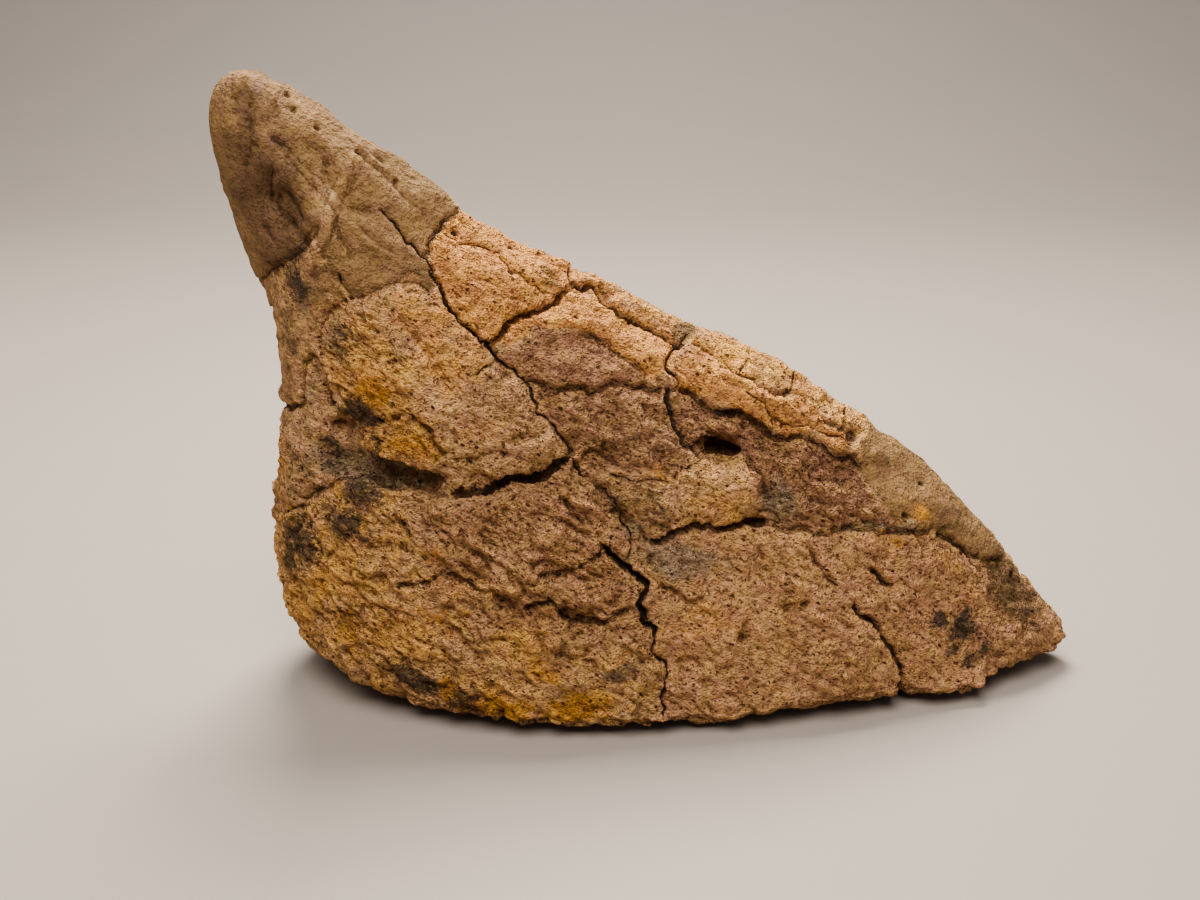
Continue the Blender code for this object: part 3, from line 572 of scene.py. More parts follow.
NEAR_STAINS = {
    PEACH: (
        (20, 36, 15, 9, 0.6), (50, 28, 12, 8, 0.3, -40), (-46, 92, 12, 6, 0.4), (-6, 24, 6, 4, 0.7),
        (-86, 42, 12, 8, 0.3), (24, 68, 9, 6, 0.5),
    ),
    OCHRE: (
        (-74, 106, 15, 10, 0.8, 10), (-78, 86, 10, 6, 0.8, -30), (-66, 92, 8, 6, 0.5), (-89, 112, 6, 8, 0.6),
        (28, 108, 12, 5, 0.9, -28), (50, 98, 14, 5, 0.6, -38), (-106, 30, 9, 20, 0.8),
        (-90, 48, 16, 16, 0.75), (-86, 62, 12, 6, 0.5), (-50, 47, 16, 6, 0.5, -5), (-44, 16, 24, 9, 0.6),
        (-15, 12, 18, 9, 0.6), (6, 78, 9, 5, 0.5), (85, 58, 10, 5, 0.6, -45), (-72, 30, 18, 12, 0.8),
        (-36, 30, 14, 10, 0.7), (96, 44, 10, 4, 0.5, -30), (76, 50, 12, 4, 0.4, -35), (40, 6, 30, 6, 0.3),
        (30, 62, 10, 3, 0.4), (-96, 120, 6, 8, 0.4), (2, 120, 8, 3, 0.5, -30),
    ),
    MAUVE: (
        (-18, 112, 12, 6, 0.5), (-50, 62, 12, 6, 0.3), (-20, 66, 8, 8, 0.4), (50, 74, 14, 8, 0.5),
        (110, 24, 16, 10, 0.4, -20), (-100, 166, 5, 14, 0.5, 10),
    ),
    OLIVE: (
        (14, 115.5, 3.4, 4, 1), (120, 30, 19, 8, 0.9, -50), (50, 107, 14, 4, 0.4, -35),
        (-28, 132, 8, 2.5, 0.5, -35),
    ),
    UMBER: (
        # the patch at (-108, 156) paints shade on the horn's left face, and the patch at (-8, 72) paints
        # shade along the middle valley
        (98, 58, 16, 7, 0.35, -40), (-108, 156, 13, 28, 1, 10), (-113, 182, 9, 11, 0.6),
        (-112, 98, 8, 14, 0.3), (-40, 60, 18, 8, 0.22), (-64, 20, 14, 8, 0.25), (112, 16, 24, 12, 0.3, -20),
        (25, 91, 6, 4, 0.4), (50, 74, 14, 8, 0.25), (0, 8, 8, 6, 0.3), (-8, 72, 11, 3.5, 0.5, -48),
        (52, 20, 14, 10, 0.2),
    ),
    GOLD: (
        (-43, 9, 14, 7, 0.9), (-18, 11, 13, 7, 0.8), (-58, 15, 5, 4, 0.9), (-28, 24, 10, 6, 0.5),
        (-88, 28, 9, 12, 0.45), (-98, 40, 5, 10, 0.5), (-92, 71, 3, 4, 0.5), (4, 80, 6, 4, 0.5),
        (88, 58, 6, 4, 0.6, -40), (-79, 100, 10, 12, 0.65), (-66, 87, 11, 5, 0.6), (-60, 38, 12, 7, 0.45),
        (-62, 56, 10, 4, 0.45), (48, 103, 18, 3, 0.5, -36), (-60, 50, 7, 3, 0.3), (27, 109, 8, 3, 0.4, -25),
        (80, 52, 9, 2.5, 0.45, -30), (37, 66, 3, 5, 0.4), (-112, 70, 4, 16, 0.5), (-76, 84, 6, 4, 0.4),
        (-104, 28, 6, 12, 0.35), (104, 34, 10, 6, 0.25),
    ),
    DUST: (
        (-84, 78, 19, 6, 0.9, -4), (-62, 77, 10, 3, 0.7), (10, 54, 15, 7, 0.8, -10), (42, 67, 6, 9, 0.7, 20),
        (72, 57, 22, 2, 0.7, -6), (-2, 62, 9, 4, 0.5, -45), (-92, 160, 5, 14, 0.35, 30), (-5, 22, 8, 4, 0.7),
        (10, 88, 7, 9, 0.3, 30), (-44, 113, 5, 5, 0.35), (-99, 128, 7, 9, 0.5), (-90, 116, 6, 8, 0.5),
        (46, 97, 12, 4, 0.3, -35), (-54, 118, 6, 3, 0.3), (-6, 88, 12, 5, 0.3), (26, 50, 14, 6, 0.3),
    ),
    SOOT: (
        (-83, 95, 7, 6, 0.95), (-79, 87, 4, 7, 0.6, 20), (-86.5, 116, 6, 8, 0.55), (-101.5, 131, 6, 8, 0.65),
        (-106, 113, 5, 11, 0.4), (-83, 71, 8, 7, 0.8), (-88, 62, 12, 7, 0.7, -15),
        (-104, 52, 10, 10, 0.8, -40), (-109, 46, 6, 10, 0.7), (-68, 17, 11, 7, 0.85, -25),
        (-52, 12, 8, 8, 0.6), (93, 26.5, 3.4, 3, 1), (102, 23.5, 6.5, 4.5, 0.95, 20), (104, 26.5, 3, 3, 0.8),
        (104, 14, 4, 3, 0.8), (98, 18.5, 4, 3, 0.6), (109, 17, 5, 4, 0.6), (-94, 80, 4, 10, 0.5, 20),
        (-114, 92, 3, 9, 0.4), (-45, 30, 5, 4, 0.35), (-44, 21, 4, 4, 0.4), (-74, 90, 3, 6, 0.4, -30),
        (-38, 30, 5, 6, 0.3), (-70, 84, 4, 3, 0.3),
    ),
}

FAR_STAINS = {
    PEACH: ((40, 14, 22, 9, 0.5), (-60, 60, 13, 11, 0.5)),
    OCHRE: ((0, 10, 26, 9, 0.6), (-100, 100, 9, 15, 0.5), (60, 50, 14, 7, 0.4, -30)),
    UMBER: ((-107, 156, 8, 26, 0.6, 10), (100, 20, 18, 12, 0.35), (-20, 40, 18, 12, 0.25)),
    GOLD: ((-44, 12, 14, 6, 0.6), (40, 92, 12, 4, 0.6, -35), (-80, 92, 7, 9, 0.5)),
    DUST: ((-88, 72, 16, 7, 0.8), (10, 60, 14, 6, 0.7, -20), (-22, 76, 10, 7, 0.6, -40)),
    SOOT: (
        (-60, 96, 9, 8, 0.8), (60, 24, 10, 6, 0.8, 20), (-96, 46, 8, 11, 0.7), (-30, 20, 9, 6, 0.6),
        (-100, 118, 7, 9, 0.5), (10, 44, 6, 9, 0.5, 20),
    ),
}

BELOW_STAINS = {
    ROSE: ((30, 0, 44, 20, 0.5),),
    OCHRE: ((-60, 10, 28, 18, 0.5),),
    DUST: ((0, 0, 60, 20, 0.4),),
    SOOT: ((-80, -10, 15, 10, 0.6, 30), (70, 12, 12, 8, 0.5, 30)),
}

STAINS = tuple(
    Stain(tint, *patch, aspect=aspect)
    for aspect, tints in ((NEAR, NEAR_STAINS), (FAR, FAR_STAINS), (BELOW, BELOW_STAINS))
    for tint, patches in tints.items()
    for patch in patches
)


# ---- Geometry ----


def choose(*objects: bpy.types.Object) -> None:
    """Selects some objects alone.

    Args:
        objects: What to select. The first one is made active.
    """
    bpy.ops.object.select_all(action="DESELECT")
    for obj in objects:
        obj.select_set(True)
    bpy.context.view_layer.objects.active = objects[0]


def smooth_step(values: Array) -> Array:
    """An even S between 0 and 1."""
    values = np.clip(values, 0, 1)
    return values * values * (3 - 2 * values)


def clouds(points: Array, size: float, seed: float = 0.0) -> Array:
    """Noise between about -1 and 1 at each point.

    Args:
        points: Places in millimetres.
        size: Size of its features in millimetres.
        seed: Shifts the pattern.

    Returns:
        One value for each point.
    """
    return np.array([noise.noise(Vector(point)) for point in (points / size + seed).tolist()])


def read_vectors(items: Any, name: str) -> Array:
    """Reads a vector property of all items of a mesh.

    Args:
        items: The mesh's vertices or normals.
        name: The property.

    Returns:
        One row for each item.
    """
    values = np.empty(len(items) * 3, np.float32)
    items.foreach_get(name, values)
    return values.reshape(-1, 3).astype(float)


def place_points(mesh: bpy.types.Mesh, points: Array) -> None:
    """Moves a mesh's vertices to these places, in metres."""
    mesh.vertices.foreach_set("co", points.astype(np.float32).ravel())
    mesh.update()


def turned(x: Array, up: Array, degrees: float) -> tuple[Array, Array]:
    """Coordinates along and across a line that rises by an angle."""
    c, s = math.cos(math.radians(degrees)), math.sin(math.radians(degrees))
    return x * c + up * s, up * c - x * s


def inside(corners: Sequence[Place], places: Array, soft: float) -> Array:
    """How far each place is inside an outline.

    Args:
        corners: The outline.
        places: Places to judge, one row each.
        soft: Width of the soft edge in millimetres.

    Returns:
        0 outside, 1 inside, and values between along the edge.
    """
    within = np.zeros(len(places), bool)
    distance = np.full(len(places), 1e3)
    for start, end in zip(corners, (*corners[1:], corners[0])):
        along = np.array(end) - start
        offset = places - start
        share = np.clip(offset @ along / (along @ along), 0, 1)
        distance = np.minimum(distance, np.linalg.norm(offset - share[:, None] * along, axis=1))
        spans = (offset[:, 1] < 0) != (offset[:, 1] < along[1])
        within ^= spans & (offset[:, 0] < offset[:, 1] * along[0] / (along[1] or 1e-9))
    return smooth_step(0.5 + np.where(within, distance, -distance) / soft)


class Net:
    """Which points of a mesh are joined, for smoothing."""

    def __init__(self, mesh: bpy.types.Mesh) -> None:
        """Reads the edges.

        Args:
            mesh: The mesh to smooth.
        """
        edges = np.empty(len(mesh.edges) * 2, np.int32)
        mesh.edges.foreach_get("vertices", edges)
        self.start, self.end = edges.reshape(-1, 2).T
        self.total = len(mesh.vertices)
        self.count = np.bincount(edges, minlength=self.total)

    def mean(self, values: Array) -> Array:
        """Averages over each point's neighbours.

        Args:
            values: One value for each point, or one row of three.

        Returns:
            The means, in the same form.
        """
        if values.ndim == 2:
            return np.stack([self.mean(column) for column in values.T], 1)
        summed = np.bincount(self.start, values[self.end], self.total)
        return (summed + np.bincount(self.end, values[self.start], self.total)) / self.count


@dataclass
class Trace:
    """A route laid on the bone: its points, outward normals and directions, a short step apart."""

    points: Array
    normals: Array
    directions: Array


class BoneSurface:
    """The fine surface of the bone while it is carved, in millimetres.

    Attributes:
        LINE: Distance from a crack's middle within which it is stored.
        SHELL: Thickness of the soft limit inside the solid's box.
        STEP: Distance between the points of a trace.
        PIECE: Points of a trace that are compared with the surface at a time.
        SEAM: Width over which the near side turns into the far side.
        FAN: The place from which the horn's ridges fan out.
        lowered: How far each point goes in for the form.
        cut: How far it goes in for cracks.
        dark: How dark the shade painted at it is, in cracks' cores, hollows and vessel mouths, apart from
            cracks' gaps.
        crack: Distance from the nearest crack's middle, with a sign for its side.
        gap: Half the width of that crack's opening, where shade is painted dark.
        rough: How spongy it is.
        torn: How much it is torn into ridges.
        tints: How strong each tint is.
        ragged: A shift of two coordinates that makes outlines ragged.
        local: The points, counted from the foot of the keel.
        share: How much each point belongs to each side.
    """

    LINE = 2.4
    SHELL = 1.2
    STEP = 0.5
    PIECE = 24
    SEAM = 3
    FAN = (-122, 214)

    def __init__(self, mesh: bpy.types.Mesh) -> None:
        """Reads the relaxed mesh.

        Args:
            mesh: The mesh to carve.
        """
        self.mesh = mesh
        self.net = Net(mesh)
        self.points = read_vectors(mesh.vertices, "co") / MM
        self.normals = read_vectors(mesh.vertex_normals, "vector")
        count = len(self.points)
        self.lowered, self.cut, self.dark, self.gap, self.torn = np.zeros((5, count))
        self.rough = np.ones(count)
        self.crack = np.full(count, self.LINE)
        self.tints = {tint: np.zeros(count) for tint in Tint}
        faces = [list(face.vertices) for face in mesh.polygons]
        self.tree = BVHTree.FromPolygons(self.points.tolist(), faces)
        self.ragged = np.stack([clouds(self.points, 7, seed) for seed in (3.1, 7.7)], 1) * 2.2
        self.local = self.points - SIDE_VIEW_ORIGIN
        side = np.clip(0.5 - self.local[:, 1] / self.SEAM, 0, 1)
        base = np.clip(-1.2 - 2.4 * self.normals[:, 2], 0, 1) * np.clip((12 - self.local[:, 2]) / 6, 0, 1)
        self.share = {NEAR: side * (1 - base), FAR: (1 - side) * (1 - base), BELOW: base}

    def places(self, aspect: Aspect) -> Array:
        """All points as they are read from one side."""
        return self.local[:, :2] if aspect is BELOW else self.local[:, [0, 2]]

    def lay(self, aspect: Aspect, place: Sequence[float]) -> tuple[Vector, Vector]:
        """Finds the point of the bone at a place.

        Args:
            aspect: The side on which the place is read.
            place: The place.

        Returns:
            The point and its outward normal.
        """
        outward = Vector(aspect.value)
        flat = (place[0], place[1], 0) if aspect is BELOW else (place[0], 0, place[1])
        spot = Vector(flat) + Vector(SIDE_VIEW_ORIGIN)
        point, normal, _, _ = self.tree.ray_cast(spot + outward * 200, -outward)
        if point is None:
            point, normal, _, _ = self.tree.find_nearest(spot)
        return point, normal

    def trace(self, fissure: Fissure) -> Trace:
        """Lays a fissure's route on the bone, with a small wander.

        Args:
            fissure: What to lay.

        Returns:
            Its points on the bone.
        """
        corners = np.array(fissure.route, float)
        run = np.concatenate([[0], np.cumsum(np.linalg.norm(np.diff(corners, axis=0), axis=1))])
        at = np.arange(0, run[-1], self.STEP)
        line = np.stack([np.interp(at, run, corners[:, axis]) for axis in (0, 1)], 1)
        seed = corners[0].sum()
        calm = 0.4 if fissure.cut is FURROW else 1.0
        for spacing, reach in ((4.3, 1.6 * calm), (1.6, 0.9 * calm)):
            knots = np.arange(0, run[-1] + spacing, spacing)
            for axis in (0, 1):
                bends = [noise.noise(Vector((knot * 0.83, seed, axis * 8 + spacing))) for knot in knots]
                line[:, axis] += reach * np.interp(at, knots, bends)
        laid = [self.lay(fissure.aspect, place) for place in line]
        points = np.array([point for point, _ in laid])
        direction = np.gradient(points, axis=0)
        direction /= np.linalg.norm(direction, axis=1)[:, None] + 1e-9
        return Trace(points, np.array([normal for _, normal in laid]), direction)

    def near(self, trace: Trace, margin: float, stepped: bool) -> tuple[Array, Array, Array]:
        """Finds the surface points near a trace.

        Args:
            trace: The route on the bone.
            margin: Greatest distance in millimetres.
            stepped: Whether distances are cut down to whole millimetres.

        Returns:
            Indices of the points, their distances, and the step of the trace nearest to each.
        """
        distance = np.full(len(self.points), float(margin))
        nearest = np.full(len(self.points), -1)
        low, high = trace.points.min(0) - margin, trace.points.max(0) + margin
        region = np.flatnonzero(np.all((self.points > low) & (self.points < high), axis=1))
        spots = self.points[region]
        for start in range(0, len(trace.points), self.PIECE):
            piece = trace.points[start : start + self.PIECE + 1]
            close = np.all((spots > piece.min(0) - margin) & (spots < piece.max(0) + margin), axis=1)
            apart = np.linalg.norm(spots[close][:, None] - piece[None], axis=2)
            best = apart.argmin(1)
            apart = apart[np.arange(len(best)), best]
            index = region[close]
            better = apart < distance[index]
            distance[index[better]] = np.floor(apart[better]) if stepped else apart[better]
            nearest[index[better]] = start + best[better]
        found = np.flatnonzero(nearest >= 0)
        return found, distance[found], nearest[found]

    def cut_fissure(self, fissure: Fissure) -> None:
        """Cuts a crack or ledge, and marks the shade painted dark in its opening.

        Args:
            fissure: What to cut.
        """
        gap, depth, lip, dark = fissure.cut.value
        gap *= fissure.wide
        trace = self.trace(fissure)
        margin = max(gap + 1, lip, fissure.reach if fissure.drop else self.LINE)
        found, distance, step = self.near(trace, margin, bool(fissure.drop) and not fissure.clean)
        across = np.cross(trace.normals[step], trace.directions[step])
        signed = -(across * (self.points[found] - trace.points[step])).sum(1)
        count = len(trace.points)
        ends = smooth_step(np.minimum(step + 1, count - step) * self.STEP / fissure.fade)
        half = gap / 2 * np.clip(self._swell(count), 0.3, 2)[step] * (0.3 + 0.7 * ends)
        wall = np.clip(1.15 * (1 - distance / (half + 0.45)), 0, 1)
        chips = 1 + 1.6 * clouds(self.points[found], 2.6, 4.7)
        worn = 0.14 * lip * chips * ends * np.clip(1 - distance / lip, 0, 1) ** 2
        self.cut[found] = np.maximum(self.cut[found], depth * ends * wall + worn)
        # painted shade: the crack's opening, stored as its gap, is painted dark by the material
        if dark > 0.5:
            closest = distance < np.abs(self.crack[found])
            self.crack[found[closest]] = np.copysign(distance[closest], signed[closest])
            here = closest & (distance < 0.8)
            self.crack[found[here]] = signed[here]
            fading = np.clip((1.25 - distance) / 0.5, 0, 1)
            self.gap[found] = np.maximum(self.gap[found], half * dark * ends * fading)
        # painted shade in the crack's core, darker the deeper the crack is
        core = np.clip((half + 0.15 - distance) / 0.35, 0, 1)
        self.dark[found] = np.maximum(self.dark[found], dark * core * ends * min(1, depth / 3))
        if fissure.drop:
            level = np.clip(0.5 + math.copysign(1, fissure.drop) * signed / 0.9, 0, 1)
            slope = smooth_step(1 - distance / fissure.reach)
            self.lowered[found] += abs(fissure.drop) * slope * level * ends

    def _swell(self, count: int) -> Array:
        """How much wider or narrower than usual a fissure of some steps is at each of them."""
        swell = np.ones(count)
        for pace, seed, much in ((0.11, 5, 1.1), (0.37, 9, 0.7)):
            waves = [noise.noise(Vector((step * pace, count, seed))) for step in range(count)]
            swell += much * np.array(waves)
        return swell

    def press_hollow(self, hollow: Hollow) -> None:
        """Presses a hollow in, or raises a swelling.

        Args:
            hollow: What to press.
        """
        small = min(hollow.long, hollow.wide) < 2
        bowl = smooth_step(1.1 * (1 - self._ellipse(hollow, 0.12 if small else 0.5)))
        self.lowered += hollow.depth * bowl
        # painted shade inside the hollow
        self.dark = np.maximum(self.dark, hollow.dark * bowl)

    def tint_plate(self, plate: Plate) -> None:
        """Gives a block its level, its tints and its texture.

        Args:
            plate: The block.
        """
        wander = self.ragged * (0.35 + 0.12 * plate.edge)
        share = inside(plate.corners, self.places(plate.aspect) + wander, plate.edge)
        share = share * self.share[plate.aspect]
        self.lowered -= plate.rise * share
        self.rough += (plate.rough - self.rough) * share
        self.torn += (plate.torn - self.torn) * share
        for tint in Tint:
            self.tints[tint] += (plate.tints.get(tint, 0) - self.tints[tint]) * share

    def add_stain(self, stain: Stain) -> None:
        """Lays one cloudy patch that thins out from its middle."""
        fading = np.clip(1.3 - np.sqrt(np.maximum(self._ellipse(stain, 1.0), 0)), 0, 1) * stain.strength
        self.tints[stain.tint] = np.maximum(self.tints[stain.tint], fading)

    def _ellipse(self, spot: Hollow | Stain, ragged: float) -> Array:
        """Measures from the middle of a hollow or stain.

        Args:
            spot: The hollow or stain.
            ragged: Factor on how ragged its edge is.

        Returns:
            Squared distances, 1 on its edge and large off its side of the bone.
        """
        offset = self.places(spot.aspect) + self.ragged * ragged - (spot.x, spot.up)
        along, up = turned(offset[:, 0], offset[:, 1], spot.turn)
        return (along / spot.long) ** 2 + (up / spot.wide) ** 2 + 9 * (1 - self.share[spot.aspect])

    def weather(self) -> None:
        """Adds the lumps, the torn ridges and the spongy relief of the broken bone."""
        height = self.points[:, 2]
        along, across = turned(self.local[:, 0], self.local[:, 2], -30)
        sloped = np.stack([along * 0.5, self.local[:, 1] * 0.8, across], 1)
        skin = np.clip(1.4 - 1.6 * self.rough, 0, 1)
        above_base = 0.3 + 0.7 * smooth_step(height / 11)
        relief = 0.6 * clouds(self.points, 15, 1.7)
        relief += 1.1 * clouds(self.points, 7.5, 4.2) * (0.3 + 0.7 * self.rough)
        relief += 1.5 * (np.abs(clouds(sloped, 5.5, 8.3)) * 2.6 - 0.55) * self.torn * above_base
        relief += 0.65 * (3 * np.abs(clouds(sloped, 2.9, 5.1)) - 0.7) * self.rough
        relief += 0.34 * clouds(self.points, 1.7, 2.9) * self.rough
        relief += self._horn_ridges() * skin
        scallops = 5.6 * np.abs(clouds(self.points * (1, 1, 0.35), 10, 6.6)) - 1.2
        relief += scallops * smooth_step(1 - height / 15) * smooth_step(height / 4)
        undercut = 1.8 + 2.4 * clouds(self.points * (1, 1, 0), 17, 2.2)
        steep = np.clip((self.normals[:, 2] + 0.9) / 0.3, 0, 1)
        relief -= undercut * smooth_step(1 - height / 6.5) * steep
        self.lowered -= relief - 0.25

    def _horn_ridges(self) -> Array:
        """Ridges that fan out from the horn's tip."""
        x, up = self.local[:, 0] - self.FAN[0], self.local[:, 2] - self.FAN[1]
        angle, reach = np.arctan2(x, -up), np.hypot(x, up)
        fan = np.stack([angle * 48, self.local[:, 1] * 0.5, reach * 0.22], 1)
        return 0.85 * (0.5 - np.abs(clouds(fan, 5, 6.4)) * 2) + 0.3 * clouds(fan, 2.4, 9.6)

    def apply(self) -> None:
        """Moves the mesh's points and stores what the material reads."""
        points = self.points - self.normals * (self.lowered + self.cut)[:, None]
        self._hold_in_box(points)
        flat = self.points[:, 2] < 0.3
        points[:, 2] = np.where(flat, np.minimum(points[:, 2], self.lowered + self.cut), points[:, 2])
        self._lift_rim(points)
        points[:, 2] = np.maximum(points[:, 2], 0)
        place_points(self.mesh, points * MM)
        marks = {tint.value: values for tint, values in self.tints.items()}
        marks |= {name: getattr(self, name) for name in ("dark", "rough", "crack", "gap")}
        # worn stores how far each point stands out: the material lightens edges by it as wear, and paints
        # shade into clefts by it
        for name, values in (marks | {"worn": self._bulge(points)}).items():
            attribute = self.mesh.attributes.new(name, "FLOAT", "POINT")
            attribute.data.foreach_set("value", values.astype(np.float32))

    def _hold_in_box(self, points: Array) -> None:
        """Keeps the carved bone inside the solid's box, with a soft limit.

        Args:
            points: The moved points, changed in place.
        """
        low, high = np.array(SOLID_BOX) / MM
        middle, half = (low + high) / 2, (high - low) / 2 - self.SHELL
        over = np.maximum(np.abs(points - middle) - half, 0)
        held = half + self.SHELL * (1 - np.exp(-over / self.SHELL))
        outside = over > 0
        points[outside] = (middle + np.copysign(held, points - middle))[outside]

    def _lift_rim(self, points: Array, top: float = 8.0, reach: float = 12.0) -> None:
        """Raises the edge of the base a little off the floor.

        Args:
            points: The moved points, changed in place.
            top: Height up to which the side moves.
            reach: Width of the raised edge of the base.
        """
        rim = self.points[np.abs(self.points[:, 2] - top) < 0.5].tolist()
        tree = KDTree(len(rim))
        for number, (x, y, _) in enumerate(rim):
            tree.insert((x, y, 0), number)
        tree.balance()
        low = np.flatnonzero(self.points[:, 2] < top)
        places = self.points[low] * (1, 1, 0)
        apart = np.array([tree.find(place)[2] for place in places.tolist()])
        share = smooth_step(1.2 - apart / reach) * (1 - np.clip(points[low, 2], 0, top) / top)
        lift = 3.9 - 2.8 * np.abs(clouds(places, 12, 3.3)) + 1.5 * np.abs(clouds(places, 27, 5.3))
        front = 0.55 + 0.45 * smooth_step(0.5 - places[:, 1] / 40)
        points[low, 2] += np.maximum(lift, 1.2) * share * front

    def _bulge(self, points: Array) -> Array:
        """Compares each point with its surroundings.

        Args:
            points: The moved points.

        Returns:
            How far each stands out, from -1 in a crease to 1 on an edge.
        """
        around = points
        for _ in range(8):
            around = 0.4 * around + 0.6 * self.net.mean(around)
        return np.clip(((points - around) * self.normals).sum(1) / 0.4, -1, 1)


# ---- Materials ----


def colour(red: float, green: float, blue: float) -> Colour:
    """A shader colour from display values of 0 to 255."""
    return (*(((value / 255 + 0.055) / 1.055) ** 2.4 for value in (red, green, blue)), 1.0)


class Wire:
    """An output socket that takes part in Python expressions."""

    def __init__(self, bench: "Bench", socket: bpy.types.NodeSocket) -> None:
        """Wraps a socket."""
        self.bench = bench
        self.socket = socket

    def _math(self, operation: str, *values: Any) -> "Wire":
        """Adds a Math node."""
        return self.bench.node("Math", {"operation": operation}, dict(enumerate(values)))

    def __add__(self, other: Any) -> "Wire":
        """Sum."""
        return self._math("ADD", self, other)

    __radd__ = __add__

    def __sub__(self, other: Any) -> "Wire":
        """Difference."""
        return self._math("SUBTRACT", self, other)

    def __rsub__(self, other: Any) -> "Wire":
        """Difference, reflected."""
        return self._math("SUBTRACT", other, self)

    def __mul__(self, other: Any) -> "Wire":
        """Product."""
        return self._math("MULTIPLY", self, other)

    __rmul__ = __mul__

    def __abs__(self) -> "Wire":
        """Size without sign."""
        return self._math("ABSOLUTE", self)

    def step(self, low: float, high: float) -> "Wire":
        """A smooth step from 0 at low to 1 at high."""
        settings = {"interpolation_type": "SMOOTHSTEP"}
        return self.bench.node("MapRange", settings, {"Value": self, "From Min": low, "From Max": high})

    def top(self, other: Any) -> "Wire":
        """The larger of two values."""
        return self._math("MAXIMUM", self, other)


class Bench:
    """Builds one material's node tree."""

    def __init__(self, name: str, **constants: float) -> None:
        """Starts a material.

        Args:
            name: Its name.
            constants: Values of its shader's inputs, with _ for a space.
        """
        self.material = bpy.data.materials.new(name)
        self.material.use_nodes = True
        self.tree = self.material.node_tree
        self.shader = self.tree.nodes["Principled BSDF"]
        for socket, value in constants.items():
            self.shader.inputs[socket.replace("_", " ")].default_value = value
        self.where = self.node("TexCoord", {}, {}, "Object")

    def node(self, kind: str, settings: dict[str, Any], sockets: dict[Any, Any], output: Any = 0) -> Wire:
        """Adds a node.

        Args:
            kind: The node's type, without its ShaderNode prefix.
            settings: Its properties, set first.
            sockets: Values or wires for its inputs, by name or number.
            output: Name or number of the output to return.

        Returns:
            That output.
        """
        made = self.tree.nodes.new(f"ShaderNode{kind}")
        for name, value in settings.items():
            setattr(made, name, value)
        for name, value in sockets.items():
            self.join(made.inputs[name], value)
        return Wire(self, made.outputs[output])

    def join(self, socket: bpy.types.NodeSocket, value: Any) -> None:
        """Feeds an input.

        Args:
            socket: The input.
            value: A wire to link to it, or the input's own value.
        """
        if isinstance(value, Wire):
            self.tree.links.new(value.socket, socket)
        else:
            socket.default_value = value

    def attribute(self, name: str) -> Wire:
        """A number stored on the mesh."""
        return self.node("Attribute", {"attribute_name": name}, {}, "Fac")

    def mix(self, share: Any, first: Any, second: Any, blend: str = "MIX") -> Wire:
        """A colour between two colours."""
        settings = {"data_type": "RGBA", "blend_type": blend}
        return self.node("Mix", settings, {0: share, 6: first, 7: second}, 2)

    def grain(self, where: Wire, size: float, detail: float = 3.0, rough: float = 0.55) -> Wire:
        """Cloud noise around 0, with features of a size in millimetres."""
        sockets = {"Vector": where, "Scale": 1 / (size * MM), "Detail": detail, "Roughness": rough}
        return self.node("TexNoise", {"noise_dimensions": "3D"}, sockets, "Fac") - 0.5

    def cells(self, where: Wire, spacing: float, output: str = "Distance") -> Wire:
        """Distance from the middle of a cell, or the cell's own number, for cells some millimetres apart."""
        sockets = {"Vector": where, "Scale": 1 / (spacing * MM)}
        return self.node("TexVoronoi", {"feature": "F1"}, sockets, output)


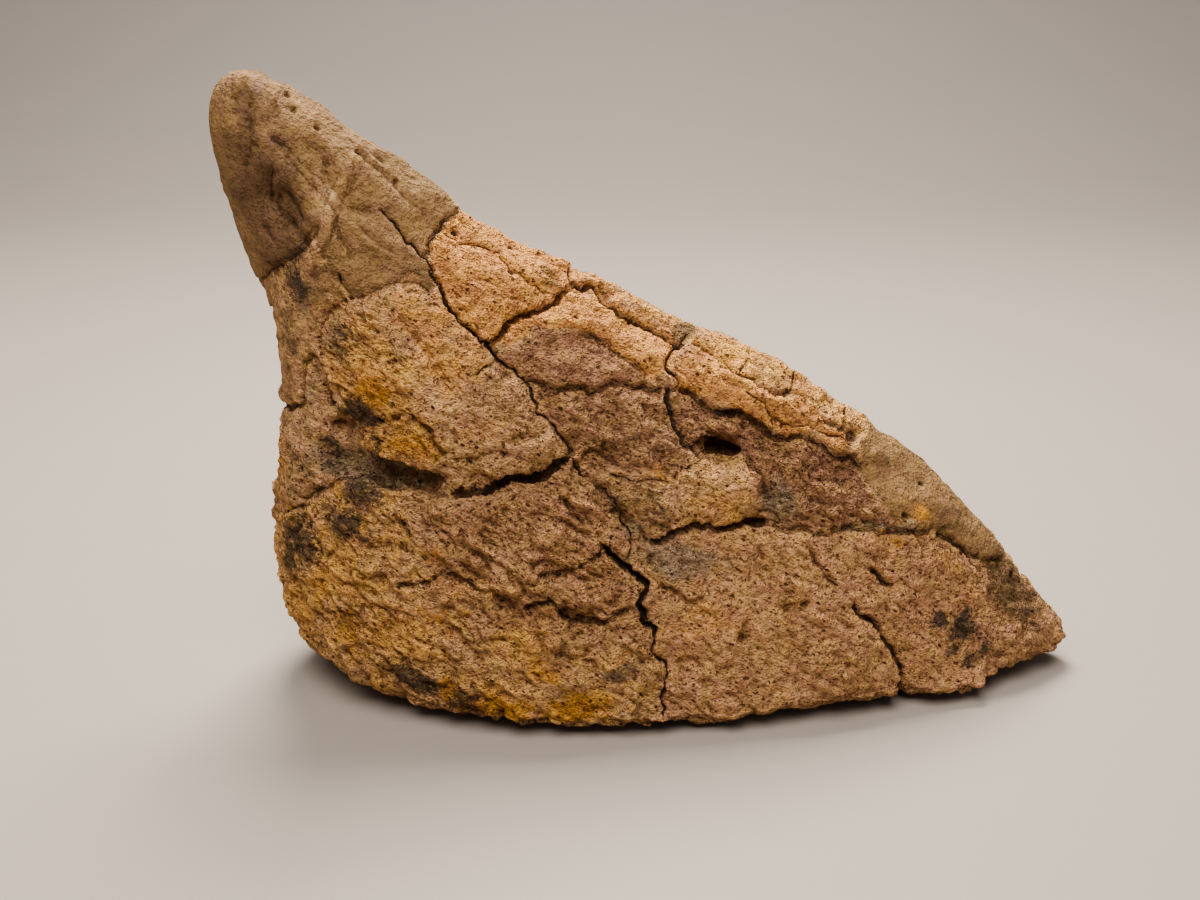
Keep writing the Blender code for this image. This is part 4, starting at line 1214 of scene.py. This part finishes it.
@dataclass(frozen=True)
class FossilBone:
    """The finish of the bone.

    Attributes:
        bone: Colour of bare bone.
        inside: Colour of the shade painted in cracks' openings and cores, and in dark hollows and vessel
            mouths.
        deep: Factor on the colour of the darkest grains.
        light: Factor on the colour of the lightest grains.
        casts: Factors between which the colour drifts, for the broad and the smaller drift.
        worn: Factor on the colour of worn edges.
        cleft_shade: Factor that paints shade into clefts.
        pore_shade: Factor that paints shade into open pores.
        relief: Height of the fine relief in millimetres.
        lean: Angle by which the fibres lean, in degrees.
        palette: Colour of each tint.
    """

    bone: Colour = colour(210, 164, 120)
    inside: Colour = colour(48, 32, 22)
    deep: Colour = (0.66, 0.58, 0.48, 1.0)
    light: Colour = (1.26, 1.24, 1.18, 1.0)
    casts: tuple[tuple[Colour, Colour], ...] = (
        ((0.86, 0.84, 0.82, 1), (1.12, 1.12, 1.12, 1)),
        ((1.00, 0.91, 0.92, 1), (1.05, 1.07, 0.74, 1)),
    )
    worn: Colour = (1.20, 1.16, 1.08, 1)
    cleft_shade: Colour = (0.40, 0.33, 0.28, 1)
    pore_shade: Colour = (0.20, 0.14, 0.10, 1)
    relief: float = 6.2
    lean: float = 32.0
    palette: dict[Tint, Colour] = field(
        default_factory=lambda: {
            PEACH: colour(226, 160, 90),
            ROSE: colour(197, 147, 107),
            OCHRE: colour(236, 178, 98),
            MAUVE: colour(156, 112, 85),
            OLIVE: colour(108, 84, 54),
            UMBER: colour(84, 62, 45),
            GOLD: colour(204, 142, 40),
            DUST: colour(154, 132, 108),
            SOOT: colour(58, 48, 42),
        }
    )

    def build(self) -> bpy.types.Material:
        """Builds the material."""
        bench = BoneBench("fossil bone", self.lean)
        rough, patch, fibre, fine = bench.rough, bench.patch, bench.fibre, bench.fine
        hollow, gap = bench.pores(), bench.gap()
        shade = (fibre * (rough * 1.4 + 0.2) + patch * 0.7 + fine * 0.9 + 0.5).step(0.1, 0.9)
        tone = bench.tinted(self.bone, self.palette)
        tone = bench.mix(1.0, tone, bench.mix(shade, self.deep, self.light), "MULTIPLY")
        drifts = (bench.grain(bench.where, 17, 3), bench.grain(bench.where, 5.5, 4, 0.65))
        for drift, (low, high) in zip(drifts, self.casts):
            tone = bench.mix(1.0, tone, bench.mix((drift + 0.5).step(0.32, 0.68), low, high), "MULTIPLY")
        bulge = bench.attribute("worn")
        tone = bench.mix(bulge.step(0.15, 1.0) * 0.8, tone, self.worn, "MULTIPLY")
        # painted shade: clefts, where points lie below their surroundings, are darkened
        tone = bench.mix((0 - bulge).step(0.05, 0.9) * 0.7, tone, self.cleft_shade, "MULTIPLY")
        # painted shade in the open pores
        tone = bench.mix(hollow, tone, self.pore_shade, "MULTIPLY")
        # painted shade: cracks' cores and openings, dark hollows and vessel mouths take the inside colour
        # below
        dark = bench.attribute("dark").step(0.15, 0.95).top(gap)
        height = fibre * (rough * 1.2) + patch * (rough * 1.1 + 0.25) + fine * (rough * 0.5)
        height = height - hollow * 0.3 - gap * 0.5
        bump = bench.node("Bump", {}, {"Strength": 1.0, "Distance": self.relief * MM, "Height": height})
        bench.join(bench.shader.inputs["Base Color"], bench.mix(dark * 0.93, tone, self.inside))
        bench.join(bench.shader.inputs["Roughness"], 0.92 - bench.attribute(OLIVE.value) * 0.16)
        bench.join(bench.shader.inputs["Normal"], bump)
        return bench.material


class BoneBench(Bench):
    """Builds the bone's node tree, from patterns that its parts share.

    Attributes:
        fibre_way: Coordinates that are stretched along the fibres.
        rough: How spongy the bone is.
        patch: Broad grain.
        fibre: Grain along the fibres.
        fine: The finest grain.
    """

    def __init__(self, name: str, lean: float) -> None:
        """Starts the material with its shared patterns.

        Args:
            name: Its name.
            lean: Angle by which the fibres lean, in degrees.
        """
        super().__init__(name, Specular_IOR_Level=0.15)
        turn = {"Vector": self.where, "Rotation": (0, math.radians(lean), 0), "Scale": (1.5, 1.2, 1)}
        self.fibre_way = self.node("Mapping", {"vector_type": "TEXTURE"}, turn)
        self.rough = self.attribute("rough")
        self.patch = self.grain(self.where, 4.5)
        self.fibre = self.grain(self.fibre_way, 1.3, 3, 0.68)
        self.fine = self.grain(self.where, 0.6, 1)

    def pores(self) -> Wire:
        """Open pores, whose shade the material paints dark: rounded holes in some of the cells, and torn
        slots between the fibres.
        """
        bent = self.node("VectorMath", {"operation": "ADD"}, {0: self.fibre_way, 1: self._warp(0.9)})
        holes: Any = 0.0
        for spacing, radius in ((2.3, 0.24), (1.0, 0.30)):
            chosen = self.cells(bent, spacing, "Color").step(0.5, 0.62)
            holes = ((radius - self.cells(bent, spacing)).step(0, 0.07) * chosen).top(holes)
        slots = (0 - self.fibre).step(0.07, 0.2) * (self.rough * 0.7 + 0.1)
        return (holes * (self.rough * 1.1 + 0.1)).top(slots * 0.7)

    def _warp(self, size: float) -> Wire:
        """A small shift, with features of a size in millimetres, that makes round cells ragged."""
        sockets = {"Vector": self.where, "Scale": 1 / (size * MM), "Detail": 2.0}
        shift = self.node("TexNoise", {"noise_dimensions": "3D"}, sockets, "Color")
        return self.node("VectorMath", {"operation": "SCALE"}, {0: shift, "Scale": size * MM})

    def gap(self) -> Wire:
        """The opening of the cracks, where shade is painted dark, with ragged edges."""
        off = abs(self.attribute("crack") + self.fine * 0.9 + self.patch * 1.2)
        width = self.attribute("gap")
        return (width * (self.patch * 2.0 + 1.0) - off * 0.8).step(-0.06, 0.16) * width.step(0.02, 0.2)

    def tinted(self, bone: Colour, palette: dict[Tint, Colour]) -> Wire:
        """Lays every tint over the bare bone, each with a broken edge.

        Args:
            bone: Colour of bare bone.
            palette: Colour of each tint.

        Returns:
            The colour.
        """
        tone: Any = bone
        for number, tint in enumerate(Tint):
            own = self.grain(self.where, 1.7 if tint is SOOT else 2.6 + number * 0.6, 5, 0.68)
            share = self.attribute(tint.value)
            cover = (share + own * 1.5 + self.patch * 0.5 + self.fine * 0.5).step(0.22, 0.72)
            tone = self.mix(cover * share.step(0.02, 0.25) * 0.9, tone, palette[tint])
        return tone


@dataclass(frozen=True)
class PaleBoard:
    """The finish of the floor and backdrop."""

    tint: Colour = colour(140, 130, 119)

    def build(self) -> bpy.types.Material:
        """Builds the material."""
        bench = Bench("pale board", Roughness=0.6, Specular_IOR_Level=0.25)
        mottle = bench.grain(bench.where, 60) + 0.5
        deep = (*(0.96 * part for part in self.tint[:3]), 1.0)
        bench.join(bench.shader.inputs["Base Color"], bench.mix(mottle, deep, self.tint))
        return bench.material


# ---- Pieces ----


@dataclass
class Scute:
    """The fossil scute.

    Attributes:
        coarse: Mesh size in millimetres at which the solid is relaxed.
        fine: Mesh size at which it is carved.
        even_out: Rounds of smoothing that take the facets away, and those that follow the fine mesh.
        triangles: Triangles that the finished piece keeps.
        finish: Its material.
    """

    coarse: float = 1.6
    fine: float = 0.6
    even_out: tuple[int, int] = (150, 8)
    triangles: int = 192_000
    finish: FossilBone = field(default_factory=FossilBone)

    def build(self) -> bpy.types.Object:
        """Builds the piece, dresses it and joins it to the frame."""
        bone = self._copy_solid()
        for size, rounds in zip((self.coarse, self.fine), self.even_out):
            self._remesh(bone, size)
            self._relax(bone.data, rounds)
        LOG.info("relaxed")
        self._carve(BoneSurface(bone.data))
        self._thin(bone)
        bone.data.materials.clear()
        bone.data.materials.append(self.finish.build())
        choose(bone)
        bpy.ops.object.shade_smooth()
        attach(bone, "root")
        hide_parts("scute")
        return bone

    def _carve(self, surface: BoneSurface) -> None:
        """Carves and stains the bone.

        Args:
            surface: Its surface, changed in place.
        """
        for plate in (*NEAR_PLATES, *FAR_PLATES, *BELOW_PLATES):
            surface.tint_plate(plate)
        for stain in STAINS:
            surface.add_stain(stain)
        for hollow in (*NEAR_HOLLOWS, *FAR_HOLLOWS, *BELOW_HOLLOWS, *VESSELS):
            surface.press_hollow(hollow)
        LOG.info("tinted")
        for fissure in (*NEAR_FISSURES, *FAR_FISSURES, *BELOW_FISSURES):
            surface.cut_fissure(fissure)
        LOG.info("cut")
        surface.weather()
        surface.apply()
        LOG.info("weathered")

    def _copy_solid(self) -> bpy.types.Object:
        """Copies the solid and merges its loose triangles."""
        choose(frame["nodes"]["scute"])
        bpy.ops.object.duplicate()
        bone = bpy.context.active_object
        bone.name = "fossil_scute"
        choose(bone)
        bpy.ops.object.mode_set(mode="EDIT")
        bpy.ops.mesh.select_all(action="SELECT")
        bpy.ops.mesh.remove_doubles(threshold=1e-6)
        bpy.ops.object.mode_set(mode="OBJECT")
        bpy.ops.object.parent_clear(type="CLEAR_KEEP_TRANSFORM")
        bpy.ops.object.transform_apply(location=True, rotation=True, scale=True)
        return bone

    def _remesh(self, bone: bpy.types.Object, size: float) -> None:
        """Gives the piece an even mesh.

        Args:
            bone: The piece.
            size: Mesh size in millimetres.
        """
        choose(bone)
        even = bone.modifiers.new("even mesh", "REMESH")
        even.mode = "VOXEL"
        even.voxel_size = size * MM
        bpy.ops.object.modifier_apply(modifier=even.name)

    def _relax(self, mesh: bpy.types.Mesh, rounds: int, pull: float = 0.5, push: float = 0.51) -> None:
        """Smooths facets away without shrinking the form.

        Args:
            mesh: The mesh to smooth.
            rounds: How many times it is pulled in and pushed out again.
            pull: How far each point goes to the mean of its neighbours.
            push: How far it goes back.
        """
        points = read_vectors(mesh.vertices, "co")
        net = Net(mesh)
        for share in (pull, -push) * rounds:
            points += (net.mean(points) - points) * share
        place_points(mesh, points)

    def _thin(self, bone: bpy.types.Object) -> None:
        """Drops the triangles that the form doesn't need.

        Args:
            bone: The piece.
        """
        choose(bone)
        now = sum(len(face.vertices) - 2 for face in bone.data.polygons)
        thin = bone.modifiers.new("thin", "DECIMATE")
        thin.ratio = min(1.0, self.triangles / now)
        bpy.ops.object.modifier_apply(modifier=thin.name)
        points = read_vectors(bone.data.vertices, "co")
        points[:, 2] = np.maximum(points[:, 2], 0)
        place_points(bone.data, points)
        LOG.info("%d of %d triangles", len(bone.data.polygons), now)


@dataclass(frozen=True)
class Lamp:
    """A soft square light.

    Attributes:
        name: What it does.
        place: Where it is, in metres.
        aim: The point that it shines at.
        size: Its width.
        power: Its power in watts.
        tint: Its colour.
    """

    name: str
    place: tuple[float, float, float]
    aim: tuple[float, float, float]
    size: float
    power: float
    tint: Colour

    def build(self) -> None:
        """Adds the light."""
        bpy.ops.object.light_add(type="AREA", location=self.place)
        lamp = bpy.context.active_object
        lamp.name = self.name
        lamp.rotation_mode = "QUATERNION"
        lamp.rotation_quaternion = (Vector(self.aim) - Vector(self.place)).to_track_quat("-Z", "Y")
        lamp.data.size = self.size
        lamp.data.energy = self.power
        lamp.data.color = self.tint[:3]


@dataclass
class Studio:
    """The pale board, the lights and the camera.

    Attributes:
        aim: The point the camera looks at, in metres.
        distance: From that point to the camera.
        elevation: Of the camera above the horizon, in degrees.
        lens: Focal length in millimetres.
        front: Where the board starts, in front of the scute.
        bend: Where it starts to curve up.
        radius: Of that curve.
        rise: Height of its upright part.
        width: Of the board.
        surround: Colour of the dim even light from all round.
        dim: Strength of that light.
        lamps: The lights.
    """

    aim: Vector = field(default_factory=lambda: Vector((-0.0197, 0.0030, 0.0731)))
    distance: float = 0.475
    elevation: float = 20.0
    lens: float = 45.0
    front: float = -1.6
    bend: float = 0.75
    radius: float = 0.45
    rise: float = 2.4
    width: float = 4.0
    surround: Colour = colour(214, 210, 214)
    dim: float = 0.30
    lamps: tuple[Lamp, ...] = (
        Lamp("key", (-0.04, 0.40, 0.83), (0.0, 0.0, 0.06), 0.40, 35.0, colour(255, 246, 234)),
        Lamp("fill", (-0.10, -0.44, 0.98), (0.0, 0.0, 0.05), 0.8, 22.0, colour(255, 248, 242)),
        Lamp("backdrop wash", (0.0, 0.45, 1.3), (0.0, 1.2, 0.35), 1.0, 5.5, colour(150, 190, 255)),
    )

    def build(self) -> None:
        """Builds everything around the scute."""
        self._board()
        for lamp in self.lamps:
            lamp.build()
        self._world()
        self._camera()

    def _board(self) -> bpy.types.Object:
        """One sheet that is the floor and curves up behind as the backdrop."""
        bpy.ops.object.select_all(action="DESELECT")
        bpy.ops.mesh.primitive_grid_add(x_subdivisions=1, y_subdivisions=60, size=1)
        board = bpy.context.active_object
        board.name = "board"
        level, arc = self.bend - self.front, self.radius * math.pi / 2
        for vertex in board.data.vertices:
            along = (vertex.co.y + 0.5) * (level + arc + self.rise)
            angle = min(max(along - level, 0), arc) / self.radius
            y = self.front + min(along, level) + self.radius * math.sin(angle)
            z = self.radius * (1 - math.cos(angle)) + max(along - level - arc, 0)
            vertex.co = (vertex.co.x * self.width, y, z)
        bpy.ops.object.shade_smooth()
        board.data.materials.append(PaleBoard().build())
        return board

    def _world(self) -> None:
        """Adds the dim even surround."""
        world = bpy.data.worlds.new("studio")
        bpy.context.scene.world = world
        world.use_nodes = True
        background = world.node_tree.nodes["Background"]
        background.inputs["Color"].default_value = self.surround
        background.inputs["Strength"].default_value = self.dim

    def _camera(self) -> None:
        """Puts the camera in front, a little above the scute."""
        tilt = math.radians(self.elevation)
        back = Vector((0, -math.cos(tilt), math.sin(tilt)))
        bpy.ops.object.camera_add(location=self.aim + back * self.distance)
        camera = bpy.context.active_object
        camera.rotation_mode = "QUATERNION"
        camera.rotation_quaternion = (-back).to_track_quat("-Z", "Y")
        camera.data.lens = self.lens
        camera.data.clip_start = 0.01
        bpy.context.scene.camera = camera


def main() -> None:
    """Builds the scute and its studio."""
    logging.basicConfig(level=logging.INFO, format="%(relativeCreated)d %(name)s: %(message)s")
    scute = Scute().build()
    LOG.info("%s: %d points", scute.name, len(scute.data.vertices))
    Studio().build()
    LOG.info("studio built")


if __name__ == "__main__":
    main()
